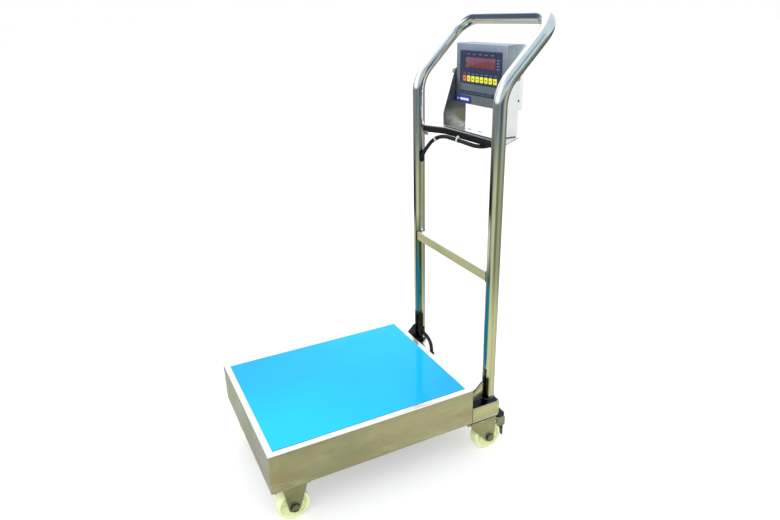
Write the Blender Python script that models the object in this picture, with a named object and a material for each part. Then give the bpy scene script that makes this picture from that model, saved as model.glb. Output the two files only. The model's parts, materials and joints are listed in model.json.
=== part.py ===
"""Mobile animal weighing scale: a skirted weighing pan on a low tubular base with four casters,
a bent push handle, and an indicator that tilts in a yoke between the handle's columns.

Frame: metres, +Z up, floor at z = 0, +Y towards the handle, +X towards the right-hand side.
"""
import math

import bmesh
import bpy
from mathutils import Matrix, Vector

# Driving dimensions -------------------------------------------------------------------------
GAP = 0.0003                  # clearance between neighbours that touch
PAN_WIDTH = 0.400
PAN_FRONT = -0.356
PAN_REAR = 0.144
PAN_TOP = 0.202
PAN_BOTTOM = 0.107
PAN_SHEET = 0.002
PAN_FOLD = 0.0025             # outer radius of the folded edges
REAR_SKIRT_BOTTOM = 0.150     # the rear skirt stops above the base rails
FILM_BORDER = 0.015

BASE_BOTTOM = 0.107
BASE_TOP = 0.147
RAIL_X = 0.170
RAIL_SIZE = 0.040
RAIL_FRONT = -0.350
TUBE_WALL = 0.002
DECK_WIDTH = 0.396
DECK_FRONT = 0.146
DECK_REAR = 0.222
DECK_SHEET = 0.0025

COLUMN_X = 0.170
COLUMN_Y = 0.2065
COLUMN_RADIUS = 0.015
COLUMN_WALL = 0.0015
HANDLE_KNEE_Z = 0.881         # where the straight column would meet the slanted part
HANDLE_TOP_Y = 0.341
HANDLE_TOP_Z = 1.0165
KNEE_BEND = 0.085
CORNER_BEND = 0.055
TUBE_SIDES = 16
CROSSBAR_Z = 0.468
CROSSBAR_SIZE = 0.025

SHELF_TOP = 0.766
SHELF_SHEET = 0.0025
SHELF_FLANGE = 0.0175
SHELF_FRONT = 0.238
SHELF_REAR = 0.306
SHELF_HALF = 0.097            # half length of the straight front edge
YOKE_SHEET = 0.003
YOKE_HALF = 0.106
PIVOT_Y = 0.283
PIVOT_Z = 0.895

INDICATOR_HALF = 0.100
INDICATOR_BOTTOM = 0.824
INDICATOR_TOP = 0.962
INDICATOR_FRONT = 0.272
INDICATOR_SPLIT = 0.294
INDICATOR_REAR = 0.320
INDICATOR_WALL = 0.0015
PANEL_HALF = 0.0825
PANEL_BOTTOM = 0.871
PANEL_TOP = 0.946
PANEL_THICK = 0.0008
WINDOW_HALF = 0.0585
WINDOW_BOTTOM = 0.9075
WINDOW_TOP = 0.9315
KEY_COUNT = 8
KEY_PITCH = 0.0174
KEY_SIZE = 0.013
KEY_Z = 0.8833
GLAND_X = 0.034
GLAND_Y = 0.306

FRONT_CASTER_X = 0.164
REAR_CASTER_X = 0.1695
WHEEL_RADIUS = 0.0375
WHEEL_WIDTH = 0.028
WHEEL_SEGMENTS = 24
AXLE_RADIUS = 0.004
FRONT_AXLE_Y = -0.305
FRONT_PLATE_Y = -0.3065
KINGPIN_Y = 0.1755
REAR_AXLE_Y = 0.204
PLATE_LENGTH = 0.093
PLATE_WIDTH = 0.060
PLATE_THICK = 0.003
FORK_SHEET = 0.0025
FORK_INNER = 0.0165
PEDAL_Y = 0.2155
PEDAL_Z = 0.0865

LOAD_CELL_Y = -0.106
LOAD_CELL_LENGTH = 0.150
LOAD_CELL_WIDTH = 0.040
LOAD_CELL_BOTTOM = 0.1343
LOAD_CELL_TOP = 0.1723
SPIDER_BOTTOM = 0.1766
SPIDER_TOP = 0.1910

CABLE_RADIUS = 0.0048
LEAD_START = (GLAND_X, GLAND_Y, 0.7945)
LEAD_END = (0.036, 0.314, 0.747)
LEAD_ROUTE = [LEAD_START, (0.0341, 0.3061, 0.7880), (0.0385, 0.3080, 0.7820), (0.0500, 0.3115, 0.7785),
              (0.0650, 0.3155, 0.7745), (0.0730, 0.3180, 0.7655), (0.0670, 0.3178, 0.7555),
              (0.0520, 0.3168, 0.7495), LEAD_END]
CABLE_ROUTE = [(0.038, 0.300, 0.744), (0.048, 0.285, 0.7438), (0.056, 0.269, 0.7433),
               (0.059, 0.255, 0.7427), (0.0545, 0.2435, 0.7424), (0.043, 0.2352, 0.7427),
               (0.0256, 0.2320, 0.7438), (0.0005, 0.2318, 0.7446), (-0.0245, 0.2318, 0.7450),
               (-0.052, 0.2318, 0.7452), (-0.078, 0.2315, 0.7450), (-0.098, 0.2285, 0.7423),
               (-0.114, 0.2235, 0.7360), (-0.127, 0.2180, 0.7258), (-0.138, 0.2125, 0.7113),
               (-0.147, 0.2083, 0.6975), (-0.1555, COLUMN_Y, 0.6850), (-0.164, COLUMN_Y, 0.6715),
               (-0.1695, COLUMN_Y, 0.655), (-COLUMN_X, COLUMN_Y, 0.626)]
CABLE_FALL = [(-COLUMN_X, COLUMN_Y, 0.238), (-0.1695, COLUMN_Y, 0.210), (-0.1655, COLUMN_Y, 0.1905),
              (-0.157, 0.2062, 0.1770), (-0.147, 0.2052, 0.1740), (-0.133, 0.2025, 0.1745),
              (-0.1165, 0.2000, 0.1755), (-0.103, 0.1975, 0.1745), (-0.0915, 0.195, 0.1715),
              (-0.081, 0.192, 0.1655), (-0.0745, 0.1895, 0.1560), (-0.0733, 0.1885, 0.1450),
              (-0.0733, 0.1865, 0.1350), (-0.0735, 0.180, 0.1265), (-0.0745, 0.168, 0.1232),
              (-0.076, 0.146, 0.123), (-0.076, 0.118, 0.1235), (-0.066, 0.080, 0.126),
              (-0.044, 0.038, 0.135), (-0.020, 0.010, 0.1455), (-0.005, -0.008, 0.1522),
              (0.0, -0.021, 0.1533), (0.0, -0.0304, 0.1533)]
LEFT_TIE, MIDDLE_TIE = 12, 8  # places along the route
UPPER_HOLE_Z = 0.687
LOWER_HOLE_Z = 0.175
DECK_HOLE = (-0.0733, 0.1885)
DECK_FRONT_HOLE = (-0.076, 0.123)
SIDES = (("left", -1), ("right", 1))


# Shape helpers ------------------------------------------------------------------------------
def clear_scene():
    for item in list(bpy.data.objects):
        bpy.data.objects.remove(item)


def make_material(name, colour, metallic, roughness):
    material = bpy.data.materials.new(name)
    material.use_nodes = True
    shader = material.node_tree.nodes["Principled BSDF"]
    shader.inputs["Base Color"].default_value = (*colour, 1)
    shader.inputs["Metallic"].default_value = metallic
    shader.inputs["Roughness"].default_value = roughness
    material.diffuse_color = (*colour, 1)
    return material


def from_bmesh(name, bm):
    bmesh.ops.recalc_face_normals(bm, faces=bm.faces[:])
    mesh = bpy.data.meshes.new(name)
    bm.to_mesh(mesh)
    bm.free()
    item = bpy.data.objects.new(name, mesh)
    bpy.context.collection.objects.link(item)
    return item


def block(name, low, high, bevel=0.0):
    """A box between two corners, with all its edges bevelled when bevel is more than 0."""
    low, high = Vector(low), Vector(high)
    bm = bmesh.new()
    place = Matrix.Translation((low + high) / 2) @ Matrix.Diagonal((*(high - low), 1))
    bmesh.ops.create_cube(bm, size=1, matrix=place)
    if bevel:
        bmesh.ops.bevel(bm, geom=bm.edges[:], offset=bevel, segments=1, profile=0.5, affect="EDGES")
    return from_bmesh(name, bm)


def prism(name, outline, axis, low, high):
    """A polygon extruded along an axis. The outline's points are the other two coordinates, in order."""
    def place(point, along):
        values = list(point)
        values.insert("XYZ".index(axis), along)
        return values
    bm = bmesh.new()
    base = bm.faces.new([bm.verts.new(place(point, low)) for point in outline])
    sweep = bmesh.ops.extrude_face_region(bm, geom=[base])
    shift = Vector(place((0, 0), high - low))
    bmesh.ops.translate(bm, vec=shift, verts=[v for v in sweep["geom"] if isinstance(v, bmesh.types.BMVert)])
    return from_bmesh(name, bm)


def arc(centre, radius, start, end, steps):
    """Points of a circular arc, with its angles in degrees."""
    turns = [math.radians(start + (end - start) * i / steps) for i in range(steps + 1)]
    return [(centre[0] + radius * math.cos(t), centre[1] + radius * math.sin(t)) for t in turns]


def rod(name, centre, axis, radius, low, high, sides=16):
    """A cylinder along an axis. The centre is given by the other two coordinates."""
    outline = arc(centre, radius, 0, 360 * (sides - 1) / sides, sides - 1)
    return prism(name, outline, axis, low, high)


def combine(target, tool, operation):
    """Applies a Boolean with the tool to the target, and removes the tool."""
    cut = target.modifiers.new(operation.title(), "BOOLEAN")
    cut.operation = operation
    cut.solver = "EXACT"
    cut.object = tool
    result = target.evaluated_get(bpy.context.evaluated_depsgraph_get())
    mesh = bpy.data.meshes.new_from_object(result)
    target.modifiers.clear()
    target.data = mesh
    bpy.data.objects.remove(tool)
    return target


def join(target, *tools):
    for tool in tools:
        combine(target, tool, "UNION")
    return target


def cut(target, *tools):
    for tool in tools:
        combine(target, tool, "DIFFERENCE")
    return target


def finish(item, material, origin=(0, 0, 0), parent=None, smooth=30):
    """Gives an object its material and moves its origin, without moving its surface."""
    item.data.transform(Matrix.Translation(-Vector(origin)))
    item.location = origin
    item.data.materials.clear()
    item.data.materials.append(material)
    item.data.shade_smooth()
    item.data.set_sharp_from_angle(angle=math.radians(smooth))
    if parent:
        item.parent = parent
        item.location = Vector(origin) - parent.location
    return item


def square_tube(name, axis, centre, size, wall, low, high):
    """An open-ended rectangular tube along an axis, size and centre in the other two coordinates."""
    def loop(inset):
        half = (size[0] / 2 - inset, size[1] / 2 - inset)
        return [(centre[0] + sx * half[0], centre[1] + sy * half[1])
                for sx, sy in ((-1, -1), (1, -1), (1, 1), (-1, 1))]
    outer = prism(name, loop(0), axis, low, high)
    over = 0.01
    return cut(outer, prism(name + "_bore", loop(wall), axis, low - over, high + over))


def turned(name, profile, centre, segments):
    """A closed (x, radius) profile turned about the X axis, with a flat facet at the bottom."""
    bm = bmesh.new()
    spread = 1 / math.cos(math.pi / segments)
    rings = []
    for i in range(segments):
        angle = math.radians(270) + (i + 0.5) * 2 * math.pi / segments
        rings.append([bm.verts.new((centre[0] + x, centre[1] + r * spread * math.cos(angle),
                                    centre[2] + r * spread * math.sin(angle))) for x, r in profile])
    for i, ring in enumerate(rings):
        following = rings[(i + 1) % segments]
        for j in range(len(profile)):
            k = (j + 1) % len(profile)
            bm.faces.new((ring[j], ring[k], following[k], following[j]))
    return from_bmesh(name, bm)


def pivot_empty(name, location):
    empty = bpy.data.objects.new(name, None)
    empty.location = location
    empty.empty_display_size = 0.02
    bpy.context.collection.objects.link(empty)
    return empty


# Base and weighing parts --------------------------------------------------------------------
def make_base(steel):
    rail_z = (BASE_BOTTOM + BASE_TOP) / 2
    inner = RAIL_X - RAIL_SIZE / 2 - GAP
    for side, sign in SIDES:
        rail = square_tube(f"base_rail_{side}", "Y", (sign * RAIL_X, rail_z), (RAIL_SIZE, RAIL_SIZE),
                           TUBE_WALL, RAIL_FRONT, DECK_FRONT - GAP)
        finish(rail, steel)
    member = square_tube("base_front_crossmember", "X", (RAIL_FRONT + RAIL_SIZE / 2, rail_z),
                         (RAIL_SIZE, RAIL_SIZE), TUBE_WALL, -inner, inner)
    finish(member, steel)
    beam_top = 0.130
    beam = square_tube("load_cell_beam", "X", (-0.056, (BASE_BOTTOM + beam_top) / 2),
                       (0.050, beam_top - BASE_BOTTOM), DECK_SHEET, -inner, inner)
    finish(beam, steel)


def make_deck(steel):
    """The folded rear deck, hollow, with a cable hole in its top and another in its front wall."""
    half = DECK_WIDTH / 2
    deck = block("rear_deck", (-half, DECK_FRONT, BASE_BOTTOM), (half, DECK_REAR, BASE_TOP))
    wall = DECK_SHEET
    cut(deck, block("room", (-half + wall, DECK_FRONT + wall, BASE_BOTTOM + wall),
                    (half - wall, DECK_REAR - wall, BASE_TOP - wall)),
        rod("top_hole", DECK_HOLE, "Z", 0.0065, BASE_TOP - 0.01, BASE_TOP + 0.01, 12),
        rod("front_hole", DECK_FRONT_HOLE, "Y", 0.0065, DECK_FRONT - 0.01, DECK_FRONT + 0.01, 12))
    finish(deck, steel)


def make_load_cell(aluminium, steel):
    half = LOAD_CELL_WIDTH / 2
    low_y, high_y = LOAD_CELL_Y - LOAD_CELL_LENGTH / 2, LOAD_CELL_Y + LOAD_CELL_LENGTH / 2
    middle = (LOAD_CELL_BOTTOM + LOAD_CELL_TOP) / 2
    cell = block("load_cell", (-half, low_y, LOAD_CELL_BOTTOM), (half, high_y, LOAD_CELL_TOP))
    hole, spread, reach = 0.012, 0.016, 0.03
    window = rod("window", (LOAD_CELL_Y - spread, middle), "X", hole, -reach, reach, 16)
    join(window, rod("second", (LOAD_CELL_Y + spread, middle), "X", hole, -reach, reach, 16),
         block("slot", (-reach, LOAD_CELL_Y - spread, middle - 0.003), (reach, LOAD_CELL_Y + spread, middle + 0.003)))
    finish(cut(cell, window), aluminium)
    pad_x = 0.018
    lower = block("load_cell_lower_spacer", (-pad_x, -0.071, 0.1303), (pad_x, -0.036, LOAD_CELL_BOTTOM - GAP))
    upper = block("load_cell_upper_spacer", (-pad_x, -0.176, LOAD_CELL_TOP + GAP),
                  (pad_x, -0.141, SPIDER_BOTTOM - GAP))
    finish(lower, steel)
    finish(upper, steel)


def make_spider(steel, rubber):
    """The H-shaped frame that carries the pan, with a rubber pad at each corner."""
    arm_y, arm_half, pad_x = 0.190, 0.018, 0.150
    spine = block("spider_frame", (-0.030, LOAD_CELL_Y - arm_y, SPIDER_BOTTOM),
                  (0.030, LOAD_CELL_Y + arm_y, SPIDER_TOP))
    for sign in (-1, 1):
        y = LOAD_CELL_Y + sign * arm_y
        join(spine, block("arm", (-0.168, y - arm_half, SPIDER_BOTTOM), (0.168, y + arm_half, SPIDER_TOP)))
    finish(spine, steel)
    for side, sign in SIDES:
        for end, along in (("front", -1), ("rear", 1)):
            pad = rod(f"pan_pad_{end}_{side}", (sign * pad_x, LOAD_CELL_Y + along * arm_y), "Z", 0.014,
                      SPIDER_TOP + GAP, PAN_TOP - PAN_SHEET - GAP, 16)
            finish(pad, rubber)


def make_pan(steel, film_blue):
    half = PAN_WIDTH / 2
    sheet, corner = PAN_SHEET, 0.006
    bm = bmesh.new()
    size = Vector((PAN_WIDTH, PAN_REAR - PAN_FRONT, PAN_TOP - PAN_BOTTOM))
    middle = Vector((0, (PAN_REAR + PAN_FRONT) / 2, (PAN_TOP + PAN_BOTTOM) / 2))
    bmesh.ops.create_cube(bm, size=1, matrix=Matrix.Translation(middle) @ Matrix.Diagonal((*size, 1)))
    folds = [e for e in bm.edges if not all(v.co.z < middle.z for v in e.verts)]
    bmesh.ops.bevel(bm, geom=folds, offset=PAN_FOLD, segments=2, profile=0.5, affect="EDGES")
    pan = from_bmesh("weighing_pan", bm)
    cut(pan, block("inside", (-half + sheet, PAN_FRONT + sheet, PAN_BOTTOM - 0.01),
                   (half - sheet, PAN_REAR - sheet, PAN_TOP - sheet)),
        block("rail_clearance", (-half + corner, PAN_REAR - 0.01, PAN_BOTTOM - 0.01),
              (half - corner, PAN_REAR + 0.01, REAR_SKIRT_BOTTOM)))
    finish(pan, steel)
    border = FILM_BORDER
    film = block("protective_film", (-half + border, PAN_FRONT + border, PAN_TOP + GAP),
                 (half - border, PAN_REAR - border, PAN_TOP + 2 * GAP))
    finish(film, film_blue)


# Handle -------------------------------------------------------------------------------------
def fillet(corner, before, after, radius, steps):
    """Points of an arc that rounds a corner between the directions to its two neighbours."""
    corner, into, out = Vector(corner), Vector(before) - Vector(corner), Vector(after) - Vector(corner)
    into.normalize()
    out.normalize()
    half = into.angle(out) / 2
    centre = corner + (into + out).normalized() * (radius / math.sin(half))
    start = corner + into * (radius / math.tan(half)) - centre
    end = corner + out * (radius / math.tan(half)) - centre
    normal = start.cross(end).normalized()
    sweep = start.angle(end)
    return [centre + Matrix.Rotation(sweep * i / steps, 3, normal) @ start for i in range(steps + 1)]


def handle_path():
    left, right = -COLUMN_X, COLUMN_X
    foot = BASE_TOP + GAP
    corners = [(left, COLUMN_Y, foot), (left, COLUMN_Y, HANDLE_KNEE_Z), (left, HANDLE_TOP_Y, HANDLE_TOP_Z),
               (right, HANDLE_TOP_Y, HANDLE_TOP_Z), (right, COLUMN_Y, HANDLE_KNEE_Z), (right, COLUMN_Y, foot)]
    bends = [(KNEE_BEND, 5), (CORNER_BEND, 8), (CORNER_BEND, 8), (KNEE_BEND, 5)]
    path = [Vector(corners[0])]
    for i, (radius, steps) in enumerate(bends, start=1):
        path += fillet(corners[i], corners[i - 1], corners[i + 1], radius, steps)
    return path + [Vector(corners[-1])]


def swept_tube(name, path, outer, inner, sides):
    """An open-ended round tube along a path, with its section carried without twist."""
    bm = bmesh.new()
    across, up = Vector((1, 0, 0)), Vector((0, 1, 0))
    heading = (path[1] - path[0]).normalized()
    shells = {outer: [], inner: []}
    for i, point in enumerate(path):
        before = (point - path[i - 1]).normalized() if i else heading
        after = (path[i + 1] - point).normalized() if i + 1 < len(path) else before
        tangent = (before + after).normalized()
        turn = heading.rotation_difference(tangent)
        across, up, heading = turn @ across, turn @ up, tangent
        for radius, rings in shells.items():
            angles = [2 * math.pi * k / sides for k in range(sides)]
            rings.append([bm.verts.new(point + radius * (math.cos(a) * across + math.sin(a) * up))
                          for a in angles])
    for rings in shells.values():
        for ring, following in zip(rings, rings[1:]):
            for k in range(sides):
                n = (k + 1) % sides
                bm.faces.new((ring[k], ring[n], following[n], following[k]))
    for end in (0, -1):
        wide, narrow = shells[outer][end], shells[inner][end]
        for k in range(sides):
            n = (k + 1) % sides
            bm.faces.new((wide[k], wide[n], narrow[n], narrow[k]))
    return from_bmesh(name, bm)


def slot_cutter(z, half_height, half_width):
    """A round-ended upright slot through the inner side of the left column."""
    middle = half_height - half_width
    outline = arc((COLUMN_Y, z + middle), half_width, 0, 180, 6)
    outline += arc((COLUMN_Y, z - middle), half_width, 180, 360, 6)
    return prism("slot", outline, "X", -COLUMN_X + 0.004, -COLUMN_X + 0.03)


def make_handle(steel, dark_steel):
    frame = swept_tube("handle_frame", handle_path(), COLUMN_RADIUS, COLUMN_RADIUS - COLUMN_WALL, TUBE_SIDES)
    cut(frame, slot_cutter(UPPER_HOLE_Z, 0.015, 0.006), slot_cutter(LOWER_HOLE_Z, 0.013, 0.006))
    finish(frame, steel)
    bar = square_tube("crossbar", "X", (COLUMN_Y, CROSSBAR_Z), (CROSSBAR_SIZE, CROSSBAR_SIZE), COLUMN_WALL,
                      -COLUMN_X, COLUMN_X)
    cope = COLUMN_RADIUS + GAP
    for side, sign in SIDES:
        cut(bar, rod("cope", (sign * COLUMN_X, COLUMN_Y), "Z", cope, CROSSBAR_Z - 0.05, CROSSBAR_Z + 0.05, 24))
        foot, column = BASE_TOP + GAP, COLUMN_Y - COLUMN_RADIUS - GAP
        tip = DECK_FRONT + 0.001
        outline = [(tip, foot), (column, foot), (column, foot + 0.046), (column - 0.004, foot + 0.046),
                   (tip, foot + 0.006)]
        half = 0.002
        gusset = prism(f"gusset_{side}", outline, "X", sign * COLUMN_X - half, sign * COLUMN_X + half)
        finish(gusset, dark_steel)
    finish(bar, steel)


# Indicator ----------------------------------------------------------------------------------
def make_shelf(steel):
    """The flat shelf between the columns, with a flange along its front and its slanted ends."""
    tip_x, tip_front, tip_rear, ear = 0.163, 0.208, 0.228, 0.110
    front = [(-tip_x, tip_front), (-SHELF_HALF, SHELF_FRONT), (SHELF_HALF, SHELF_FRONT), (tip_x, tip_front)]
    rear = [(tip_x, tip_rear), (ear, SHELF_REAR), (-ear, SHELF_REAR), (-tip_x, tip_rear)]
    plate = prism("indicator_shelf", front + rear, "Z", SHELF_TOP - SHELF_SHEET, SHELF_TOP)
    inner = [(x, y + SHELF_SHEET) for x, y in reversed(front)]
    flange = prism("flange", front + inner, "Z", SHELF_TOP - SHELF_FLANGE, SHELF_TOP - SHELF_SHEET / 2)
    join(plate, flange)
    for _, sign in SIDES:
        cut(plate, rod("column", (sign * COLUMN_X, COLUMN_Y), "Z", COLUMN_RADIUS + GAP,
                       SHELF_TOP - 0.05, SHELF_TOP + 0.05, 24))
    finish(plate, steel)


def make_yoke(steel):
    """The U-shaped bracket: a slotted base and two arms that narrow to the pivot."""
    front, rear = SHELF_FRONT + 0.002, SHELF_REAR - 0.002
    low = SHELF_TOP + GAP
    yoke = block("indicator_yoke", (-YOKE_HALF, front, low), (YOKE_HALF, rear, low + YOKE_SHEET))
    outline = [(front, low), (rear, low), (rear, 0.815)]
    outline += arc((PIVOT_Y, PIVOT_Z), 0.0125, -5, 165, 8)
    outline += [(front, 0.800)]
    for sign in (-1, 1):
        outer, inner = sign * YOKE_HALF, sign * (YOKE_HALF - YOKE_SHEET)
        join(yoke, prism("arm", outline, "X", min(outer, inner), max(outer, inner)))
    cut(yoke, rod("pivot", (PIVOT_Y, PIVOT_Z), "X", 0.0034, -0.12, 0.12, 12))
    for x in (-0.022, 0.022):
        cut(yoke, block("slot", (x - 0.008, 0.259, low - 0.01), (x + 0.008, 0.2645, low + 0.01)))
    finish(yoke, steel)


def make_indicator(steel, panel_dark, red_clear, board_green, battery_dark, gland_black, key_colours):
    pivot = pivot_empty("indicator_pivot", (0, PIVOT_Y, PIVOT_Z))
    origin = pivot.location.copy()
    half, wall = INDICATOR_HALF, INDICATOR_WALL
    low, high = INDICATOR_BOTTOM, INDICATOR_TOP
    front, split, rear = INDICATOR_FRONT, INDICATOR_SPLIT, INDICATOR_REAR
    panel_front, panel_back = front - GAP - PANEL_THICK, front - GAP

    housing = block("indicator_housing", (-half, front, low), (half, split, high), bevel=0.0015)
    cut(housing, block("room", (-half + wall, front + wall, low + wall), (half - wall, split + 0.01, high - wall)))
    slack = 0.0005
    cut(housing, block("window_hole", (-WINDOW_HALF - slack, front - 0.01, WINDOW_BOTTOM - slack),
                       (WINDOW_HALF + slack, front + 0.01, WINDOW_TOP + slack)))
    key_row = KEY_PITCH * (KEY_COUNT - 1) / 2 + KEY_SIZE / 2
    cut(housing, block("key_hole", (-key_row - slack, front - 0.01, KEY_Z - KEY_SIZE / 2 - slack),
                       (key_row + slack, front + 0.01, KEY_Z + KEY_SIZE / 2 + slack)))
    finish(housing, steel, origin, pivot)

    cover = block("indicator_rear_cover", (-half, split + GAP, low), (half, rear, high), bevel=0.0015)
    cut(cover, block("room", (-half + wall, split - 0.01, low + wall), (half - wall, rear - wall, high - wall)))
    finish(cover, steel, origin, pivot)

    panel = block("membrane_panel", (-PANEL_HALF, panel_front, PANEL_BOTTOM), (PANEL_HALF, panel_back, PANEL_TOP))
    cut(panel, block("window_hole", (-WINDOW_HALF - slack, panel_front - 0.01, WINDOW_BOTTOM - slack),
                     (WINDOW_HALF + slack, panel_back + 0.01, WINDOW_TOP + slack)))
    for i in range(KEY_COUNT):
        x = (i - (KEY_COUNT - 1) / 2) * KEY_PITCH
        reach = KEY_SIZE / 2 + slack
        cut(panel, block("key_hole", (x - reach, panel_front - 0.01, KEY_Z - reach),
                         (x + reach, panel_back + 0.01, KEY_Z + reach)))
        key = block(f"key_{i + 1}", (x - KEY_SIZE / 2, panel_front - 0.0008, KEY_Z - KEY_SIZE / 2),
                    (x + KEY_SIZE / 2, front + 0.0006, KEY_Z + KEY_SIZE / 2), bevel=0.0005)
        finish(key, key_colours[0] if i == 0 else key_colours[1], origin, pivot)
    finish(panel, panel_dark, origin, pivot)

    window = block("display_window", (-WINDOW_HALF, panel_front, WINDOW_BOTTOM),
                   (WINDOW_HALF, front + 0.001, WINDOW_TOP))
    finish(window, red_clear, origin, pivot)
    board = block("circuit_board", (-0.088, 0.2835, 0.834), (0.088, 0.2851, 0.952))
    finish(board, board_green, origin, pivot)
    battery = block("battery", (-0.0485, 0.2915, 0.869), (0.0485, 0.3155, 0.921))
    finish(battery, battery_dark, origin, pivot)

    gland = rod("cable_gland", (GLAND_X, GLAND_Y), "Z", 0.0105, 0.815, low - GAP, 6)
    join(gland, rod("body", (GLAND_X, GLAND_Y), "Z", 0.0082, 0.802, 0.8155, 16),
         rod("nose", (GLAND_X, GLAND_Y), "Z", 0.0062, 0.7948, 0.803, 16))
    finish(gland, gland_black, origin, pivot)


def make_clamp_screws(dark_steel):
    for side, sign in SIDES:
        low, high = sorted((sign * (YOKE_HALF + GAP), sign * (YOKE_HALF + 0.0215)))
        knob = rod(f"clamp_screw_{side}", (PIVOT_Y, PIVOT_Z), "X", 0.0062, low, high, 12)
        low, high = sorted((sign * (INDICATOR_HALF + GAP), sign * (YOKE_HALF + 0.002)))
        join(knob, rod("stem", (PIVOT_Y, PIVOT_Z), "X", 0.003, low, high, 12))
        finish(knob, dark_steel, (sign * YOKE_HALF, PIVOT_Y, PIVOT_Z))


# Signal cable -------------------------------------------------------------------------------
def smooth_route(points, per_span):
    """A Catmull-Rom curve through the points."""
    points = [Vector(p) for p in points]
    ends = [2 * points[0] - points[1]] + points + [2 * points[-1] - points[-2]]
    result = []
    for a, b, c, d in zip(ends, ends[1:], ends[2:], ends[3:]):
        for i in range(per_span):
            t = i / per_span
            result.append(0.5 * (2 * b + (c - a) * t + (2 * a - 5 * b + 4 * c - d) * t ** 2
                                 + (3 * b - a - 3 * c + d) * t ** 3))
    return result + [points[-1]]


def cord(name, points, radius, material):
    data = bpy.data.curves.new(name, "CURVE")
    data.dimensions = "3D"
    spline = data.splines.new("POLY")
    spline.points.add(len(points) - 1)
    for place, point in zip(spline.points, points):
        place.co = (*point, 1)
    data.bevel_depth = radius
    data.bevel_resolution = 2
    data.use_fill_caps = True
    data.materials.append(material)
    item = bpy.data.objects.new(name, data)
    bpy.context.collection.objects.link(item)


def cable_tie(name, centre, direction, material):
    """A flat band round the cable with its small square lock."""
    inner, outer, half = CABLE_RADIUS + 0.0004, CABLE_RADIUS + 0.0014, 0.0019
    profile = [(-half, inner), (-half, outer), (half, outer), (half, inner)]
    band = turned(name, profile, (0, 0, 0), 12)
    join(band, block("lock", (-0.0028, -0.0025, -outer - 0.0036), (0.0028, 0.0025, -inner - 0.0002)))
    turn = Vector((1, 0, 0)).rotation_difference(Vector(direction)).to_matrix().to_4x4()
    band.data.transform(Matrix.Translation(centre) @ turn)
    finish(band, material)


def make_cable(black, pale):
    per_span = 2
    upper = smooth_route(LEAD_ROUTE + CABLE_ROUTE, per_span)
    end = per_span * (len(LEAD_ROUTE) - 1)
    joint, straight = upper[end], 0.003
    heading = (upper[end + 1] - upper[end - 1]).normalized()
    lead = upper[:end] + [joint - straight * heading, joint]
    cord("indicator_lead", lead, CABLE_RADIUS, black)
    cable = [joint + GAP * heading, joint + straight * heading] + upper[end + 1:]
    cord("signal_cable", cable + smooth_route(CABLE_FALL, 1), CABLE_RADIUS, black)
    for name, at in (("cable_tie_left", LEFT_TIE), ("cable_tie_middle", MIDDLE_TIE)):
        before, centre, after = (Vector(p) for p in CABLE_ROUTE[at - 1:at + 2])
        cable_tie(name, centre, after - before, pale)


# Casters ------------------------------------------------------------------------------------
def caster_plate(name, x, y):
    top = BASE_BOTTOM - GAP
    plate = block(name, (x - PLATE_WIDTH / 2, y - PLATE_LENGTH / 2, top - PLATE_THICK),
                  (x + PLATE_WIDTH / 2, y + PLATE_LENGTH / 2, top))
    for across in (-0.0225, 0.0225):
        for along in (-0.038, 0.038):
            cut(plate, rod("bolt_hole", (x + across, y + along), "Z", 0.0043, top - 0.01, top + 0.01, 8))
    return plate


def fork_legs(target, x, axle_y, top_front, top_rear, top_z, ear_z):
    """Joins two tapered legs to a fork, rounded about the axle and bored for it."""
    foot = arc((axle_y, WHEEL_RADIUS), 0.0145, 200, 340, 6)
    outline = [(top_front, top_z), (top_front, ear_z)] + foot + [(top_rear, ear_z), (top_rear, top_z)]
    for sign in (-1, 1):
        low, high = sorted((x + sign * FORK_INNER, x + sign * (FORK_INNER + FORK_SHEET)))
        join(target, prism("leg", outline, "X", low, high))
    return cut(target, rod("axle_hole", (axle_y, WHEEL_RADIUS), "X", AXLE_RADIUS + GAP, x - 0.04, x + 0.04, 12))


def wheel(name, x, axle_y, nylon):
    edge, web, hub = WHEEL_WIDTH / 2, 0.0095, 0.0155
    bore = AXLE_RADIUS + GAP
    profile = [(-hub, bore), (-hub, 0.0115), (-web, 0.0135), (-web, 0.0285), (-edge, 0.0315), (-edge, 0.0345),
               (-0.0105, WHEEL_RADIUS), (0.0105, WHEEL_RADIUS), (edge, 0.0345), (edge, 0.0315), (web, 0.0285),
               (web, 0.0135), (hub, 0.0115), (hub, bore)]
    centre = (x, axle_y, WHEEL_RADIUS)
    finish(turned(name, profile, centre, WHEEL_SEGMENTS), nylon, centre)


def axle_bolt(name, x, axle_y, outward, dark_steel):
    outer = FORK_INNER + FORK_SHEET + GAP
    centre = (axle_y, WHEEL_RADIUS)
    low, high = sorted((x - outward * (outer + 0.005), x + outward * (outer + 0.005)))
    bolt = rod(name, centre, "X", AXLE_RADIUS, low, high, 12)
    for sign, radius, thick in ((outward, 0.0098, 0.0072), (-outward, 0.0098, 0.0080)):
        low, high = sorted((x + sign * outer, x + sign * (outer + thick)))
        join(bolt, rod("hexagon", centre, "X", radius, low, high, 6))
    finish(bolt, dark_steel)


def make_front_casters(steel, nylon, dark_steel):
    for side, sign in SIDES:
        x = sign * FRONT_CASTER_X
        fork = caster_plate(f"front_{side}_caster_fork", x, FRONT_PLATE_Y)
        top_z = BASE_BOTTOM - GAP - PLATE_THICK / 2
        fork_legs(fork, x, FRONT_AXLE_Y, FRONT_AXLE_Y - 0.022, FRONT_AXLE_Y + 0.033, top_z, 0.090)
        finish(fork, steel)
        wheel(f"front_{side}_wheel", x, FRONT_AXLE_Y, nylon)
        axle_bolt(f"front_{side}_axle_bolt", x, FRONT_AXLE_Y, sign, dark_steel)


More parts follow.
